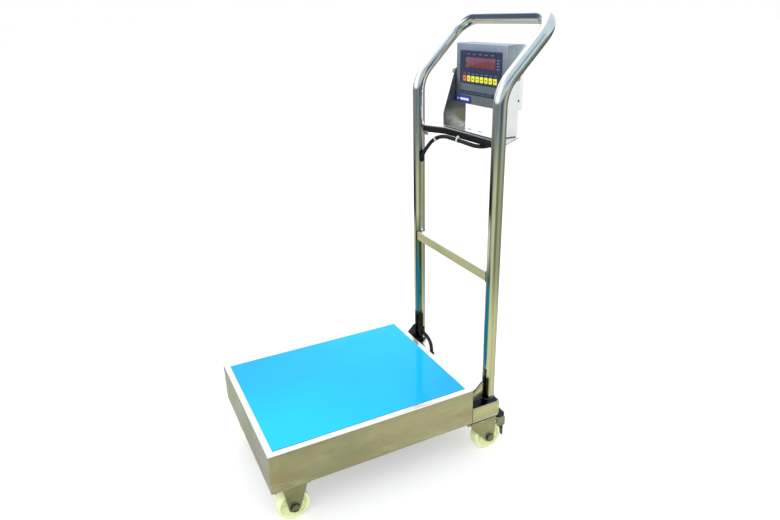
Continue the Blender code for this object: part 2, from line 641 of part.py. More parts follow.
def make_rear_casters(steel, nylon, dark_steel):
    plate_bottom = BASE_BOTTOM - GAP - PLATE_THICK
    crown_low, crown_high = 0.0945, 0.0975
    for side, sign in SIDES:
        x = sign * REAR_CASTER_X
        kingpin = (x, KINGPIN_Y)
        plate = caster_plate(f"rear_{side}_caster_plate", x, KINGPIN_Y)
        join(plate, rod("race", kingpin, "Z", 0.0225, crown_high + GAP, plate_bottom + 0.001, 20),
             rod("pin", kingpin, "Z", 0.005, crown_low - 0.006, crown_high + 0.002, 12),
             rod("nut", kingpin, "Z", 0.0092, 0.0845, crown_low - GAP, 6))
        finish(plate, steel, (x, KINGPIN_Y, plate_bottom))

        pivot = pivot_empty(f"rear_{side}_kingpin", (x, KINGPIN_Y, crown_low))
        width = FORK_INNER + FORK_SHEET
        crown = block(f"rear_{side}_caster_fork", (x - width, 0.150, crown_low), (x + width, 0.2125, crown_high))
        join(crown, rod("race", kingpin, "Z", 0.0265, crown_low, crown_high, 20))
        top_front, top_rear = 0.150, 0.222
        fork_legs(crown, x, REAR_AXLE_Y, top_front, top_rear, (crown_low + crown_high) / 2, 0.080)
        cut(crown, rod("kingpin_hole", kingpin, "Z", 0.0055, crown_low - 0.01, crown_high + 0.01, 12))
        finish(crown, steel, pivot.location.copy(), pivot)
        wheel(f"rear_{side}_wheel", x, REAR_AXLE_Y, nylon)
        axle_bolt(f"rear_{side}_axle_bolt", x, REAR_AXLE_Y, sign, dark_steel)
        make_brake_pedal(side, x, dark_steel)


def make_brake_pedal(side, x, dark_steel):
    """A barrel between the fork's legs carries a flanged tread with a grip on it and the brake's shoe behind the wheel."""
    reach, width = FORK_INNER - GAP, FORK_INNER + FORK_SHEET
    pedal = rod(f"rear_{side}_brake_pedal", (PEDAL_Y, PEDAL_Z), "X", 0.0048, x - reach, x + reach, 16)
    flange = [(0.2260, 0.0832), (0.2285, 0.0580), (0.2500, 0.0580), (0.2500, 0.0832)]
    shoe = [(0.2440, 0.0640), (0.2490, 0.0640), (0.2500, 0.0600), (0.2500, 0.0210), (0.2485, 0.0210),
            (0.2470, 0.0400), (0.2455, 0.0530)]
    grip = [(0.2475, 0.0835)] + arc((0.2385, 0.0930), 0.009, 0, 180, 8) + [(0.2295, 0.0835)]
    join(pedal, block("arm", (x - reach, PEDAL_Y, 0.0819), (x + reach, 0.2300, 0.0850)),
         block("tread", (x - width, 0.2250, 0.0815), (x + width, 0.2500, 0.0842)),
         block("back", (x - width + 0.001, 0.2476, 0.0580), (x + width - 0.001, 0.2500, 0.0830)),
         prism("shoe", shoe, "X", x - 0.012, x + 0.012), prism("grip", grip, "X", x - 0.018, x + 0.018))
    for sign in (-1, 1):
        low, high = sorted((x + sign * FORK_INNER, x + sign * width))
        join(pedal, prism("flange", flange, "X", low, high))
    finish(pedal, dark_steel, (x, PEDAL_Y, PEDAL_Z))


def main():
    clear_scene()
    polished = make_material("polished_steel", (0.72, 0.73, 0.70), 1.0, 0.12)
    brushed = make_material("brushed_steel", (0.60, 0.60, 0.55), 1.0, 0.32)
    dark_steel = make_material("dark_steel", (0.12, 0.12, 0.13), 1.0, 0.40)
    film_blue = make_material("film_blue", (0.05, 0.55, 0.95), 0.0, 0.25)
    nylon = make_material("nylon", (0.86, 0.90, 0.70), 0.0, 0.45)
    rubber = make_material("rubber", (0.04, 0.04, 0.04), 0.0, 0.80)
    aluminium = make_material("aluminium", (0.75, 0.76, 0.78), 1.0, 0.35)
    panel_dark = make_material("panel_dark", (0.03, 0.04, 0.09), 0.0, 0.35)
    red_clear = make_material("display_red", (0.50, 0.05, 0.08), 0.0, 0.15)
    key_red = make_material("key_red", (0.80, 0.12, 0.10), 0.0, 0.45)
    key_yellow = make_material("key_yellow", (0.90, 0.85, 0.05), 0.0, 0.45)
    board_green = make_material("board_green", (0.04, 0.25, 0.10), 0.0, 0.50)
    battery_dark = make_material("battery_dark", (0.06, 0.06, 0.07), 0.0, 0.60)
    black = make_material("cable_black", (0.02, 0.02, 0.02), 0.0, 0.50)
    pale = make_material("tie_pale", (0.85, 0.78, 0.65), 0.0, 0.50)

    make_base(brushed)
    make_deck(brushed)
    make_load_cell(aluminium, brushed)
    make_spider(brushed, rubber)
    make_pan(brushed, film_blue)
    make_handle(polished, brushed)
    make_shelf(brushed)
    make_yoke(brushed)
    make_indicator(brushed, panel_dark, red_clear, board_green, battery_dark, black, (key_red, key_yellow))
    make_clamp_screws(dark_steel)
    make_cable(black, pale)
    make_front_casters(brushed, nylon, dark_steel)
    make_rear_casters(brushed, nylon, dark_steel)


main()
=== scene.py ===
"""Looks for the mobile animal weighing scale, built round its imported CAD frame.

Frame: metres, +Z up, floor at z = 0, +Y towards the handle, +X towards the right-hand side.
"""
import json
import math

import bmesh
import bpy
from mathutils import Matrix, Vector, noise

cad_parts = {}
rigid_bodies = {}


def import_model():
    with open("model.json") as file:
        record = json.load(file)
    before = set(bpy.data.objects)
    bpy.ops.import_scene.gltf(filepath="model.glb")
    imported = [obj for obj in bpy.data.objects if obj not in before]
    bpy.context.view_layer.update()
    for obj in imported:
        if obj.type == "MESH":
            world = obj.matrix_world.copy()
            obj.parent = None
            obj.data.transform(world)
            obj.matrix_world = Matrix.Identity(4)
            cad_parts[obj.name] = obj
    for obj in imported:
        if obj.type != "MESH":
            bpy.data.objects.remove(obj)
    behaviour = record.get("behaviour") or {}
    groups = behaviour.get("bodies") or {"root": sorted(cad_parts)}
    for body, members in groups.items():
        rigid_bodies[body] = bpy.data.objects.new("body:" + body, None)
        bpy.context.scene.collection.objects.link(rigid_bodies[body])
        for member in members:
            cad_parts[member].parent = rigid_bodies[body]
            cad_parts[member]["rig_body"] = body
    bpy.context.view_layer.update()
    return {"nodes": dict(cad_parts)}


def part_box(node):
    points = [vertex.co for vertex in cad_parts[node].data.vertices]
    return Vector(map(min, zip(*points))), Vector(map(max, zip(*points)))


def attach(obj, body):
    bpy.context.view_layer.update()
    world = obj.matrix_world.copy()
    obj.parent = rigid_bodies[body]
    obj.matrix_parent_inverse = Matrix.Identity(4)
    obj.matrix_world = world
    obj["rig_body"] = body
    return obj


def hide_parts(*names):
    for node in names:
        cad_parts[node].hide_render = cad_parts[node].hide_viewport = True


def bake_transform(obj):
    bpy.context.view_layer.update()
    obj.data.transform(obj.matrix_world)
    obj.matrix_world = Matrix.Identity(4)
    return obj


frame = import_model()

# Driving dimensions, from the frame where it gives them
SIDES = (("left", -1), ("right", 1))
PAN_LOW, PAN_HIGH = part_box("weighing_pan")
FILM_LOW, FILM_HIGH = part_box("protective_film")
DECK_LOW, DECK_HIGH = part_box("rear_deck")
HANDLE_LOW, HANDLE_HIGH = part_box("handle_frame")
BAR_LOW, BAR_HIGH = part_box("crossbar")
SHELF_LOW, SHELF_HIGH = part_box("indicator_shelf")
YOKE_LOW, YOKE_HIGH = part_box("indicator_yoke")
HOUSING_LOW, HOUSING_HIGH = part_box("indicator_housing")
COVER_LOW, COVER_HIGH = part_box("indicator_rear_cover")
PANEL_LOW, PANEL_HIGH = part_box("membrane_panel")
WINDOW_LOW, WINDOW_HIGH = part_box("display_window")

SHEET = 0.002
REAR_SKIRT_BOTTOM = 0.150
TUBE_RADIUS = 0.015
COLUMN_X = HANDLE_HIGH.x - TUBE_RADIUS
COLUMN_Y = HANDLE_LOW.y + TUBE_RADIUS
KNEE_Z = 0.881
KNEE_BEND = 0.085
CORNER_BEND = 0.055
UPPER_HOLE_Z = 0.687
LOWER_HOLE_Z = 0.175
DECK_HOLE = (-0.0733, 0.1885)
PIVOT = Vector((0, 0.283, 0.895))
WHEEL_RADIUS = 0.0375
FRONT_AXLE_Y = -0.305
REAR_AXLE_Y = 0.204
KINGPIN_Y = 0.1755
FORK_INNER = 0.0165
FORK_SHEET = 0.0025
PEDAL_Y, PEDAL_Z = 0.2155, 0.0865
CASTER_TOP = 0.1067
GLAND_SPLIT_Z = 0.8152
CABLE_RADIUS = 0.0048
TAU = 2 * math.pi


# Materials
class Nodes:
    """Short ways to add nodes to a tree."""

    def __init__(self, tree):
        self.tree = tree

    def node(self, kind, **inputs):
        made = self.tree.nodes.new(kind)
        for socket, value in inputs.items():
            self.feed(made.inputs[socket.replace("_", " ")], value)
        return made

    def feed(self, socket, value):
        if isinstance(value, bpy.types.NodeSocket):
            self.tree.links.new(value, socket)
        else:
            socket.default_value = value

    def mix(self, factor, first, second):
        made = self.tree.nodes.new("ShaderNodeMix")
        made.data_type = "RGBA"
        self.feed(made.inputs[0], factor)
        for socket, given in ((made.inputs[6], first), (made.inputs[7], second)):
            self.feed(socket, given if isinstance(given, bpy.types.NodeSocket) else (*given, 1))
        return made.outputs[2]

    def math(self, operation, first, second=0.0):
        made = self.tree.nodes.new("ShaderNodeMath")
        made.operation = operation
        self.feed(made.inputs[0], first)
        self.feed(made.inputs[1], second)
        return made.outputs[0]

    def times(self, first, second):
        return self.math("MULTIPLY", first, second)

    def plus(self, first, second):
        return self.math("ADD", first, second)


class Paint(Nodes):
    """A Principled material with short ways to add procedural detail to it."""

    def __init__(self, name, colour, metallic=0.0, roughness=0.5, **sockets):
        self.material = bpy.data.materials.new(name)
        self.material.use_nodes = True
        super().__init__(self.material.node_tree)
        self.shader = self.tree.nodes["Principled BSDF"]
        self.shader.inputs["Base Color"].default_value = (*colour, 1)
        self.shader.inputs["Metallic"].default_value = metallic
        self.shader.inputs["Roughness"].default_value = roughness
        for socket, value in sockets.items():
            self.shader.inputs[socket.replace("_", " ")].default_value = value
        self.place = self.node("ShaderNodeTexCoord").outputs["Object"]
        self.normal = None

    def noise(self, scale, detail=2.0, stretch=(1, 1, 1), rough=0.5, shift=(0, 0, 0)):
        placed = self.node("ShaderNodeMapping", Vector=self.place, Scale=stretch, Location=shift)
        made = self.node("ShaderNodeTexNoise", Vector=placed.outputs[0], Scale=scale, Detail=detail,
                         Roughness=rough)
        return made.outputs["Fac"]

    def spread(self, value, low, high, to_low=0.0, to_high=1.0):
        made = self.node("ShaderNodeMapRange", Value=value, From_Min=low, From_Max=high, To_Min=to_low,
                         To_Max=to_high)
        return made.outputs[0]

    def axis(self, name):
        return self.node("ShaderNodeSeparateXYZ", Vector=self.place).outputs[name]

    def base(self):
        """What feeds the base colour so far."""
        return self.shader.inputs["Base Color"].links[0].from_socket

    def colour(self, socket):
        self.feed(self.shader.inputs["Base Color"], socket)

    def roughness(self, socket):
        self.feed(self.shader.inputs["Roughness"], socket)

    def bump(self, height, distance, strength=1.0):
        made = self.node("ShaderNodeBump", Height=height, Distance=distance, Strength=strength)
        if self.normal:
            self.feed(made.inputs["Normal"], self.normal)
        self.normal = made.outputs[0]
        self.feed(self.shader.inputs["Normal"], self.normal)


def brushed(name, colour, roughness, grain=(700, 9, 700), stain=0.12, lines=0.10, dull=(0.55, 0.52, 0.42)):
    """Stainless sheet: fine brush lines, handling marks and slow waves in its reflections."""
    paint = Paint(name, colour, metallic=1.0, roughness=roughness)
    streaks = paint.noise(1.0, 3.0, stretch=grain, rough=0.6)
    clouds = paint.noise(7.0, 4.0, rough=0.6)
    marks = paint.spread(clouds, 0.45, 0.72)
    dulled = tuple(c * d for c, d in zip(colour, dull))
    shade = paint.mix(paint.times(marks, stain * 3), colour, dulled)
    paint.colour(paint.mix(paint.times(paint.spread(streaks, 0.3, 0.7), lines), shade,
                           tuple(c * 0.72 for c in colour)))
    paint.roughness(paint.plus(paint.spread(streaks, 0.25, 0.75, roughness - 0.04, roughness + 0.05),
                               paint.times(marks, 0.10)))
    paint.bump(clouds, 0.007, 0.35)
    paint.bump(streaks, 0.00004, 0.4)
    return paint


def make_pan_steel():
    """The pan's skirts: soft olive, brown and grey patches, with faint bright blotches that grow near the
    bottom into a painted highlight.
    """
    paint = brushed("pan_steel", (0.74, 0.73, 0.67), 0.24, grain=(8, 8, 700), stain=0.08, lines=0.07)
    clean = paint.base()
    brown = paint.spread(paint.noise(9.0, 4.0, stretch=(1, 0.6, 1.6), rough=0.6), 0.50, 0.66)
    green = paint.spread(paint.noise(7.0, 4.0, stretch=(1, 0.5, 1.4), rough=0.6, shift=(3, 1, 2)), 0.50,
                         0.68)
    blotch_noise = paint.noise(12.0, 5.0, stretch=(1, 0.5, 2.2), rough=0.65, shift=(7, 5, 1))
    # painted highlight: near-white blotches, strongest towards the bottom edge of the skirts
    bright = paint.spread(blotch_noise, 0.54, 0.66)
    low = paint.spread(paint.axis("Z"), 0.185, 0.115, 0.15, 1.0)
    tone = paint.mix(paint.times(brown, 0.75), clean, (0.70, 0.60, 0.52))
    tone = paint.mix(paint.times(green, 0.75), tone, (0.52, 0.60, 0.55))
    paint.colour(paint.mix(paint.times(bright, paint.times(low, 0.75)), tone,
                           (0.95, 0.95, 0.88)))
    return paint.material


def shaded(name, lower, upper, start, end, roughness, grain, metallic=1.0):
    """Brushed sheet whose colour changes between two heights, to paint light and shade."""
    paint = brushed(name, lower, roughness, grain=grain, stain=0.06)
    paint.shader.inputs["Metallic"].default_value = metallic
    first = paint.base()
    paint.colour(paint.mix(paint.spread(paint.axis("Z"), start, end), first, upper))
    return paint.material


def polished(name, colour, roughness):
    """Mirror-polished tube: long polishing marks, fingerprints and a few dull spots."""
    paint = Paint(name, colour, metallic=1.0, roughness=roughness)
    smudge = paint.spread(paint.noise(26.0, 5.0, rough=0.65), 0.52, 0.75)
    streak = paint.noise(1.0, 2.0, stretch=(260, 260, 5), rough=0.55)
    paint.colour(paint.mix(paint.times(smudge, 0.35), colour, tuple(c * 0.80 for c in colour)))
    paint.roughness(paint.plus(paint.spread(streak, 0.3, 0.7, roughness * 0.6, roughness * 1.5),
                               paint.times(smudge, 0.12)))
    paint.bump(streak, 0.00005, 0.4)
    return paint


def moulded(name, colour, roughness, grain=420.0, depth=0.00008, fade=0.85, **sockets):
    """Plastic or rubber with a fine moulded grain and slightly uneven colour."""
    paint = Paint(name, colour, roughness=roughness, **sockets)
    clouds = paint.noise(22.0, 4.0, rough=0.6)
    paint.colour(paint.mix(paint.spread(clouds, 0.35, 0.7), colour, tuple(c * fade for c in colour)))
    paint.roughness(paint.spread(clouds, 0.3, 0.7, roughness - 0.06, roughness + 0.08))
    paint.bump(paint.noise(grain, 3.0), depth, 0.5)
    return paint


def make_deck_steel():
    """Deck steel, with a painted dark reflection of the columns on the top round their feet."""
    paint = brushed("deck_steel", (0.95, 0.95, 0.94), 0.20, grain=(8, 700, 700), stain=0.03)
    across = paint.math("SUBTRACT", paint.math("ABSOLUTE", paint.axis("X")), 0.180)
    along = paint.math("SUBTRACT", paint.axis("Y"), 0.180)
    squares = [paint.math("POWER", way, 2.0) for way in (across, along)]
    reach = paint.math("SQRT", paint.plus(*squares))
    ragged = paint.plus(reach, paint.spread(paint.noise(90.0, 4.0), 0.3, 0.7, -0.006, 0.006))
    top = paint.spread(paint.axis("Z"), DECK_HIGH.z - 0.0012, DECK_HIGH.z - 0.0004)
    # painted reflection: nearly black round each column foot, on the top face only
    dark_reflection = paint.times(paint.spread(ragged, 0.040, 0.052, 1.0, 0.0), top)
    clean = paint.base()
    paint.colour(paint.mix(dark_reflection, clean, (0.018, 0.019, 0.032)))
    return paint.material


def make_side_steel():
    """The housing's sides, a darker painted-shade copy of the housing steel: blue-grey at the front and top,
    with a bright, matt painted highlight low at the back.
    """
    paint = brushed("housing_side_light_and_shade_steel", (0.42, 0.50, 0.58), 0.36, grain=ALONG_X, stain=0.08,
                    dull=(0.6, 0.6, 0.62))
    first = paint.base()
    back = paint.math("SUBTRACT", paint.axis("Y"), 0.283)
    down = paint.times(paint.math("SUBTRACT", 0.915, paint.axis("Z")), 0.6)
    # painted highlight: near white and hardly metallic, low towards the back
    bright = paint.spread(paint.plus(back, down), 0.0, 0.024)
    paint.colour(paint.mix(bright, first, (0.94, 0.95, 0.96)))
    paint.feed(paint.shader.inputs["Metallic"], paint.spread(bright, 0.0, 1.0, 1.0, 0.2))
    return paint.material


def make_bar_steel():
    """Satin crossbar: warm and dull, with rubbed patches."""
    paint = Paint("satin_bar", (0.44, 0.42, 0.24), metallic=0.25, roughness=0.42)
    clouds = paint.noise(1.0, 4.0, stretch=(14, 60, 60), rough=0.6)
    tone = paint.mix(paint.spread(clouds, 0.35, 0.65), (0.54, 0.46, 0.24), (0.43, 0.42, 0.19))
    paint.colour(tone)
    paint.bump(paint.noise(1.0, 3.0, stretch=(10, 700, 700)), 0.00005, 0.5)
    return paint.material


def make_tube_steel():
    """Polished tube with painted reflections: dark teal from the film where the columns face the pan, nearly
    black at their feet, blue-grey on the slopes and a dark band along the top.
    """
    paint = polished("polished_steel", (0.90, 0.90, 0.88), 0.055)
    tone = paint.base()
    normal = paint.node("ShaderNodeTexCoord").outputs["Normal"]
    lean = paint.node("ShaderNodeSeparateXYZ", Vector=normal).outputs
    height = paint.axis("Z")
    left = paint.spread(paint.axis("X"), 0.0, -0.01)
    right = paint.math("SUBTRACT", 1.0, left)

    def toward(direction, low, high):
        made = paint.node("ShaderNodeVectorMath", Vector=normal)
        made.operation = "DOT_PRODUCT"
        made.inputs[1].default_value = direction
        return paint.spread(made.outputs["Value"], low, high)

    def each_side(on_left, on_right):
        return paint.plus(paint.times(left, on_left), paint.times(right, on_right))

    # painted reflection of the film: dark teal on the column faces that look at the pan, below about 0.5 m
    film_reflection = each_side(toward((0.743, -0.669, 0), 0.79, 0.85), toward((0.17, -0.985, 0), 0.90, 0.94))
    tone = paint.mix(paint.times(film_reflection, paint.spread(height, 0.53, 0.47)), tone, (0.14, 0.25, 0.22))
    ragged = paint.plus(height, paint.spread(paint.noise(80.0, 3.0), 0.3, 0.7, -0.006, 0.006))
    # painted dark reflection, nearly black, round the feet of the columns
    foot = each_side(paint.times(toward((0.743, -0.669, 0), 0.50, 0.72), paint.spread(ragged, 0.245, 0.232)),
                     paint.times(toward((-0.35, -0.94, 0), 0.0, 0.25), paint.spread(ragged, 0.216, 0.206)))
    tone = paint.mix(foot, tone, (0.035, 0.033, 0.030))

    # painted reflections of the sky: blue-grey on the slopes above the knees, streaky grey on the right
    above = paint.spread(height, 0.885, 0.905)
    streak = paint.spread(paint.noise(1.0, 3.0, stretch=(150, 60, 25), rough=0.6), 0.3, 0.7, 0.75, 1.0)
    grey = paint.times(paint.times(above, right), paint.spread(lean[0], 0.40, 0.50))
    tone = paint.mix(paint.times(above, paint.spread(lean[0], 0.35, 0.85, 0.0, 0.75)), tone,
                     (0.64, 0.72, 0.78))
    tone = paint.mix(paint.times(grey, streak), tone, (0.42, 0.51, 0.54))
    # painted reflection: a dark blue band along the front of the top tube
    top = paint.spread(height, 0.985, 1.0)
    band = paint.times(paint.spread(lean[2], 0.50, 0.36), paint.spread(lean[2], -0.20, 0.06))
    flat = paint.spread(paint.math("ABSOLUTE", lean[0]), 0.45, 0.25)
    band = paint.times(paint.times(band, flat), top)
    paint.colour(paint.mix(band, tone, (0.11, 0.14, 0.20)))
    return paint.material


def make_film_blue():
    """Blue protective film with painted light, brighter towards its left-rear and right-front corners, and
    faint handling creases.
    """
    paint = Paint("film_blue", (0.02, 0.50, 0.93), roughness=0.10, Specular_IOR_Level=0.13)
    # painted light: a smooth brightening towards two corners, broken up by a cloud
    across = paint.times(paint.axis("X"), paint.plus(paint.axis("Y"), 0.08))
    cloud = paint.spread(paint.noise(5.0, 3.0), 0.3, 0.7, -0.15, 0.15)
    place = paint.plus(paint.spread(across, 0.035, -0.030), cloud)
    paint.colour(paint.mix(place, (0.010, 0.38, 0.79), (0.012, 0.52, 0.82)))
    paint.roughness(paint.spread(paint.noise(14.0, 4.0), 0.3, 0.7, 0.04, 0.10))
    paint.bump(paint.noise(9.0, 2.0, stretch=(2.2, 0.7, 1)), 0.0004, 0.2)
    return paint.material


def make_nylon():
    """Cream nylon with faint dirt blotches all over, darker towards the floor, where it is painted shade."""
    paint = moulded("nylon_cream", (0.90, 0.94, 0.54), 0.38, grain=300.0, fade=0.86, Subsurface_Weight=0.15,
                    Subsurface_Radius=(0.004, 0.004, 0.002), Subsurface_Scale=1.0)
    clean = paint.base()
    dirt_and_shade = paint.spread(paint.noise(45.0, 5.0, rough=0.7), 0.52, 0.78)
    # painted shade: the dark blotches are strongest near the floor
    low = paint.spread(paint.axis("Z"), 0.014, 0.0, 0.25, 1.0)
    paint.colour(paint.mix(paint.times(dirt_and_shade, paint.times(low, 0.6)), clean,
                           (0.22, 0.21, 0.13)))
    return paint.material


def make_weld():
    """Weld metal: rippled, straw and blue tinted."""
    paint = Paint("weld_metal", (0.50, 0.48, 0.42), metallic=1.0, roughness=0.34)
    tint = paint.noise(60.0, 3.0)
    straw = paint.mix(paint.spread(tint, 0.35, 0.6), (0.56, 0.53, 0.44), (0.36, 0.30, 0.20))
    paint.colour(paint.mix(paint.spread(tint, 0.58, 0.75), straw, (0.16, 0.18, 0.28)))
    paint.roughness(paint.spread(tint, 0.3, 0.7, 0.26, 0.46))
    paint.bump(paint.noise(900.0, 2.0), 0.0002, 0.5)
    return paint.material


def make_red_window():
    paint = Paint("display_red", (0.23, 0.070, 0.095), roughness=0.18, Specular_IOR_Level=0.5,
                  Coat_Weight=0.3,
                  Coat_Roughness=0.1)
    depth = paint.noise(40.0, 2.0)
    paint.colour(paint.mix(paint.spread(depth, 0.3, 0.7), (0.13, 0.036, 0.050), (0.17, 0.046, 0.062)))
    paint.bump(paint.noise(800.0, 1.0), 0.00003, 0.3)
    return paint.material


# Brushed steels: key, material name, colour, roughness and how it differs from the standard brushing.
EVEN = (300, 300, 300)
ALONG_X = (7, 700, 900)
BRUSHED = (
    # near-white painted highlight for faces that look up
    ("top", "lit_top_steel", (0.93, 0.93, 0.92), 0.22, dict(grain=(600, 8, 600), stain=0.03)),
    ("steel", "brushed_steel", (0.98, 0.98, 0.82), 0.24, dict(grain=(500, 500, 10), stain=0.08, lines=0.05)),
    # near-white painted highlight for the top of the yoke's base
    ("yoke_foot", "yoke_foot_highlight_steel", (0.93, 0.93, 0.92), 0.12, dict(grain=(8, 600, 600), stain=0.04)),
    ("housing", "housing_steel", (0.55, 0.62, 0.72), 0.34,
     dict(grain=ALONG_X, stain=0.22, dull=(0.5, 0.5, 0.56))),
    ("fork", "fork_steel", (0.66, 0.67, 0.56), 0.30, dict(grain=(300, 300, 30), stain=0.22, lines=0.06)),
    ("zinc", "bright_zinc", (0.80, 0.80, 0.78), 0.24, dict(grain=EVEN, stain=0.1)),
    ("dark", "dark_steel", (0.20, 0.20, 0.19), 0.36, dict(grain=EVEN, stain=0.2)),
    # lighter steel for the painted highlight on the outer faces of the axle bolts
    ("bolt", "bolt_face_highlight_steel", (0.46, 0.45, 0.40), 0.34, dict(grain=EVEN, stain=0.3)),
    ("inner", "inner_steel", (0.42, 0.42, 0.40), 0.42, {}),
    # nearly black steel for painted shade on welds and edges
    ("painted_shade", "painted_shade_steel", (0.07, 0.07, 0.08), 0.34, dict(grain=EVEN, stain=0.2)),
    ("aluminium", "aluminium", (0.78, 0.79, 0.80), 0.30, dict(grain=(8, 500, 500), stain=0.05)))
# Moulded plastics and rubber: key, material name, colour, roughness and how it differs.
MOULDED = (
    ("rubber", "rubber", (0.020, 0.020, 0.022), 0.62, dict(grain=600.0, depth=0.0002)),
    ("panel", "panel_dark", (0.022, 0.030, 0.075), 0.32, dict(grain=900.0, depth=0.00003)),
    ("frame_blue", "panel_edge", (0.06, 0.09, 0.19), 0.35, {}),
    ("key_red", "key_red", (0.72, 0.16, 0.13), 0.42, dict(grain=700.0)),
    ("key_yellow", "key_yellow", (0.86, 0.84, 0.03), 0.42, dict(grain=700.0, fade=0.93)),
    ("ink", "dark_print", (0.020, 0.022, 0.035), 0.5, {}),
    ("print", "pale_print", (0.72, 0.78, 0.86), 0.5, {}),
    ("label", "label_blue", (0.020, 0.035, 0.27), 0.36, dict(grain=800.0)),
    ("strip", "strip_grey", (0.022, 0.027, 0.038), 0.42, dict(grain=800.0)),
    ("black", "cable_black", (0.010, 0.010, 0.012), 0.50,
     dict(grain=900.0, depth=0.00006, Specular_IOR_Level=0.28)),
    ("tie", "tie_pale", (0.62, 0.54, 0.42), 0.42, dict(grain=500.0)),
    ("tie_white", "tie_white", (0.80, 0.80, 0.76), 0.40, dict(grain=500.0)),
    ("green", "board_green", (0.03, 0.20, 0.08), 0.40, {}),
    ("battery", "battery_dark", (0.05, 0.05, 0.06), 0.55, {}),
    ("frame_mark", "mark_grey", (0.22, 0.25, 0.34), 0.5, {}))


def make_materials():
    shelf_change = (SHELF_HIGH.z - 0.0024, SHELF_HIGH.z - 0.0006)
    arm_change = (0.802, 0.812)
    upright = (600, 600, 9)
    made = {
        "pan": make_pan_steel(),
        # shelf: painted shade, nearly black, on the flange and a near-white painted highlight on the top
        "shelf": shaded("shelf_light_and_shade_steel", (0.055, 0.06, 0.06), (0.92, 0.92, 0.90), *shelf_change, 0.24,
                        (8, 600, 600)),
        # yoke: painted shade, darker on the arms above the change
        "yoke": shaded("yoke_shade_steel", (0.37, 0.39, 0.36), (0.20, 0.21, 0.23), *arm_change, 0.30, upright),
        # yoke's outer sides: near-white painted highlight, hardly metallic
        "yoke_side": shaded("yoke_side_highlight_steel", (0.94, 0.95, 0.95), (0.90, 0.92, 0.94), *arm_change, 0.40,
                            upright, 0.25),
        "housing_side": make_side_steel(),
        "tube": make_tube_steel(),
        "bar": make_bar_steel(),
        "deck": make_deck_steel(),
        "weld": make_weld(),
        "film": make_film_blue(),
        "nylon": make_nylon(),
        "red": make_red_window(),
        "glow": Paint("segment_glow", (0.22, 0.07, 0.085), roughness=0.4,
                      Emission_Color=(0.9, 0.10, 0.12, 1), Emission_Strength=0.03).material}
    for key, name, colour, roughness, changes in BRUSHED:
        made[key] = brushed(name, colour, roughness, **changes).material
    for key, name, colour, roughness, changes in MOULDED:
        made[key] = moulded(name, colour, roughness, **changes).material
    return made


# Shape helpers: each returns a bmesh
def soften(bm, offset, segments=2, angle=28):
    """Rounds the edges that are sharper than an angle."""
    bmesh.ops.recalc_face_normals(bm, faces=bm.faces[:])
    sharp = [e for e in bm.edges if len(e.link_faces) == 2 and e.calc_face_angle(0) > math.radians(angle)]
    bmesh.ops.bevel(bm, geom=sharp, offset=offset, segments=segments, profile=0.5, affect="EDGES",
                    clamp_overlap=True)
    return bm


def block(low, high, round_by=0.0, segments=2):
    low, high = Vector(low), Vector(high)
    bm = bmesh.new()
    place = Matrix.Translation((low + high) / 2) @ Matrix.Diagonal((*(high - low), 1))
    bmesh.ops.create_cube(bm, size=1, matrix=place)
    return soften(bm, round_by, segments) if round_by else bm


def prism(outline, axis, low, high, round_by=0.0, segments=2, angle=28):
    """A polygon extruded along an axis. The outline's points are the other two coordinates, in order."""
    def place(point, along):
        values = list(point)
        values.insert("XYZ".index(axis), along)
        return values
    low, high = sorted((low, high))
    bm = bmesh.new()
    base = bm.faces.new([bm.verts.new(place(point, low)) for point in outline])
    grown = bmesh.ops.extrude_face_region(bm, geom=[base])
    moved = [v for v in grown["geom"] if isinstance(v, bmesh.types.BMVert)]
    bmesh.ops.translate(bm, vec=Vector(place((0, 0), high - low)), verts=moved)
    return soften(bm, round_by, segments, angle) if round_by else bm


def arc(centre, radius, start, end, steps):
    """Points of a circular arc, with its angles in degrees."""
    turns = [math.radians(start + (end - start) * i / steps) for i in range(steps + 1)]
    return [(centre[0] + radius * math.cos(t), centre[1] + radius * math.sin(t)) for t in turns]


def circle(centre, radius, sides, turn=0.0):
    return arc(centre, radius, turn, turn + 360 * (sides - 1) / sides, sides - 1)


def rounded(low, high, radius, steps=4):
    """A rectangle's outline with rounded corners."""
    (x0, y0), (x1, y1) = low, high
    corners = (((x1 - radius, y0 + radius), -90), ((x1 - radius, y1 - radius), 0),
               ((x0 + radius, y1 - radius), 90), ((x0 + radius, y0 + radius), 180))
    return [p for centre, turn in corners for p in arc(centre, radius, turn, turn + 90, steps)]


def fluted(centre, inner, outer, count):
    """A circle's outline whose points lie on two radii by turns."""
    outline = []
    for i in range(count):
        t, r = TAU * i / count, (inner, outer)[i % 2]
        outline.append((centre[0] + r * math.cos(t), centre[1] + r * math.sin(t)))
    return outline


def both_ways(half):
    """A symmetric profile, from the part of it on one side."""
    return [(-along, r) for along, r in half] + half[::-1]


def plaque(low, high, radius, steps, near, far, round_by=0.0, segments=2):
    """A rounded rectangle in (x, z), standing between two values of y."""
    return prism(rounded(low, high, radius, steps), "Y", near, far, round_by, segments)


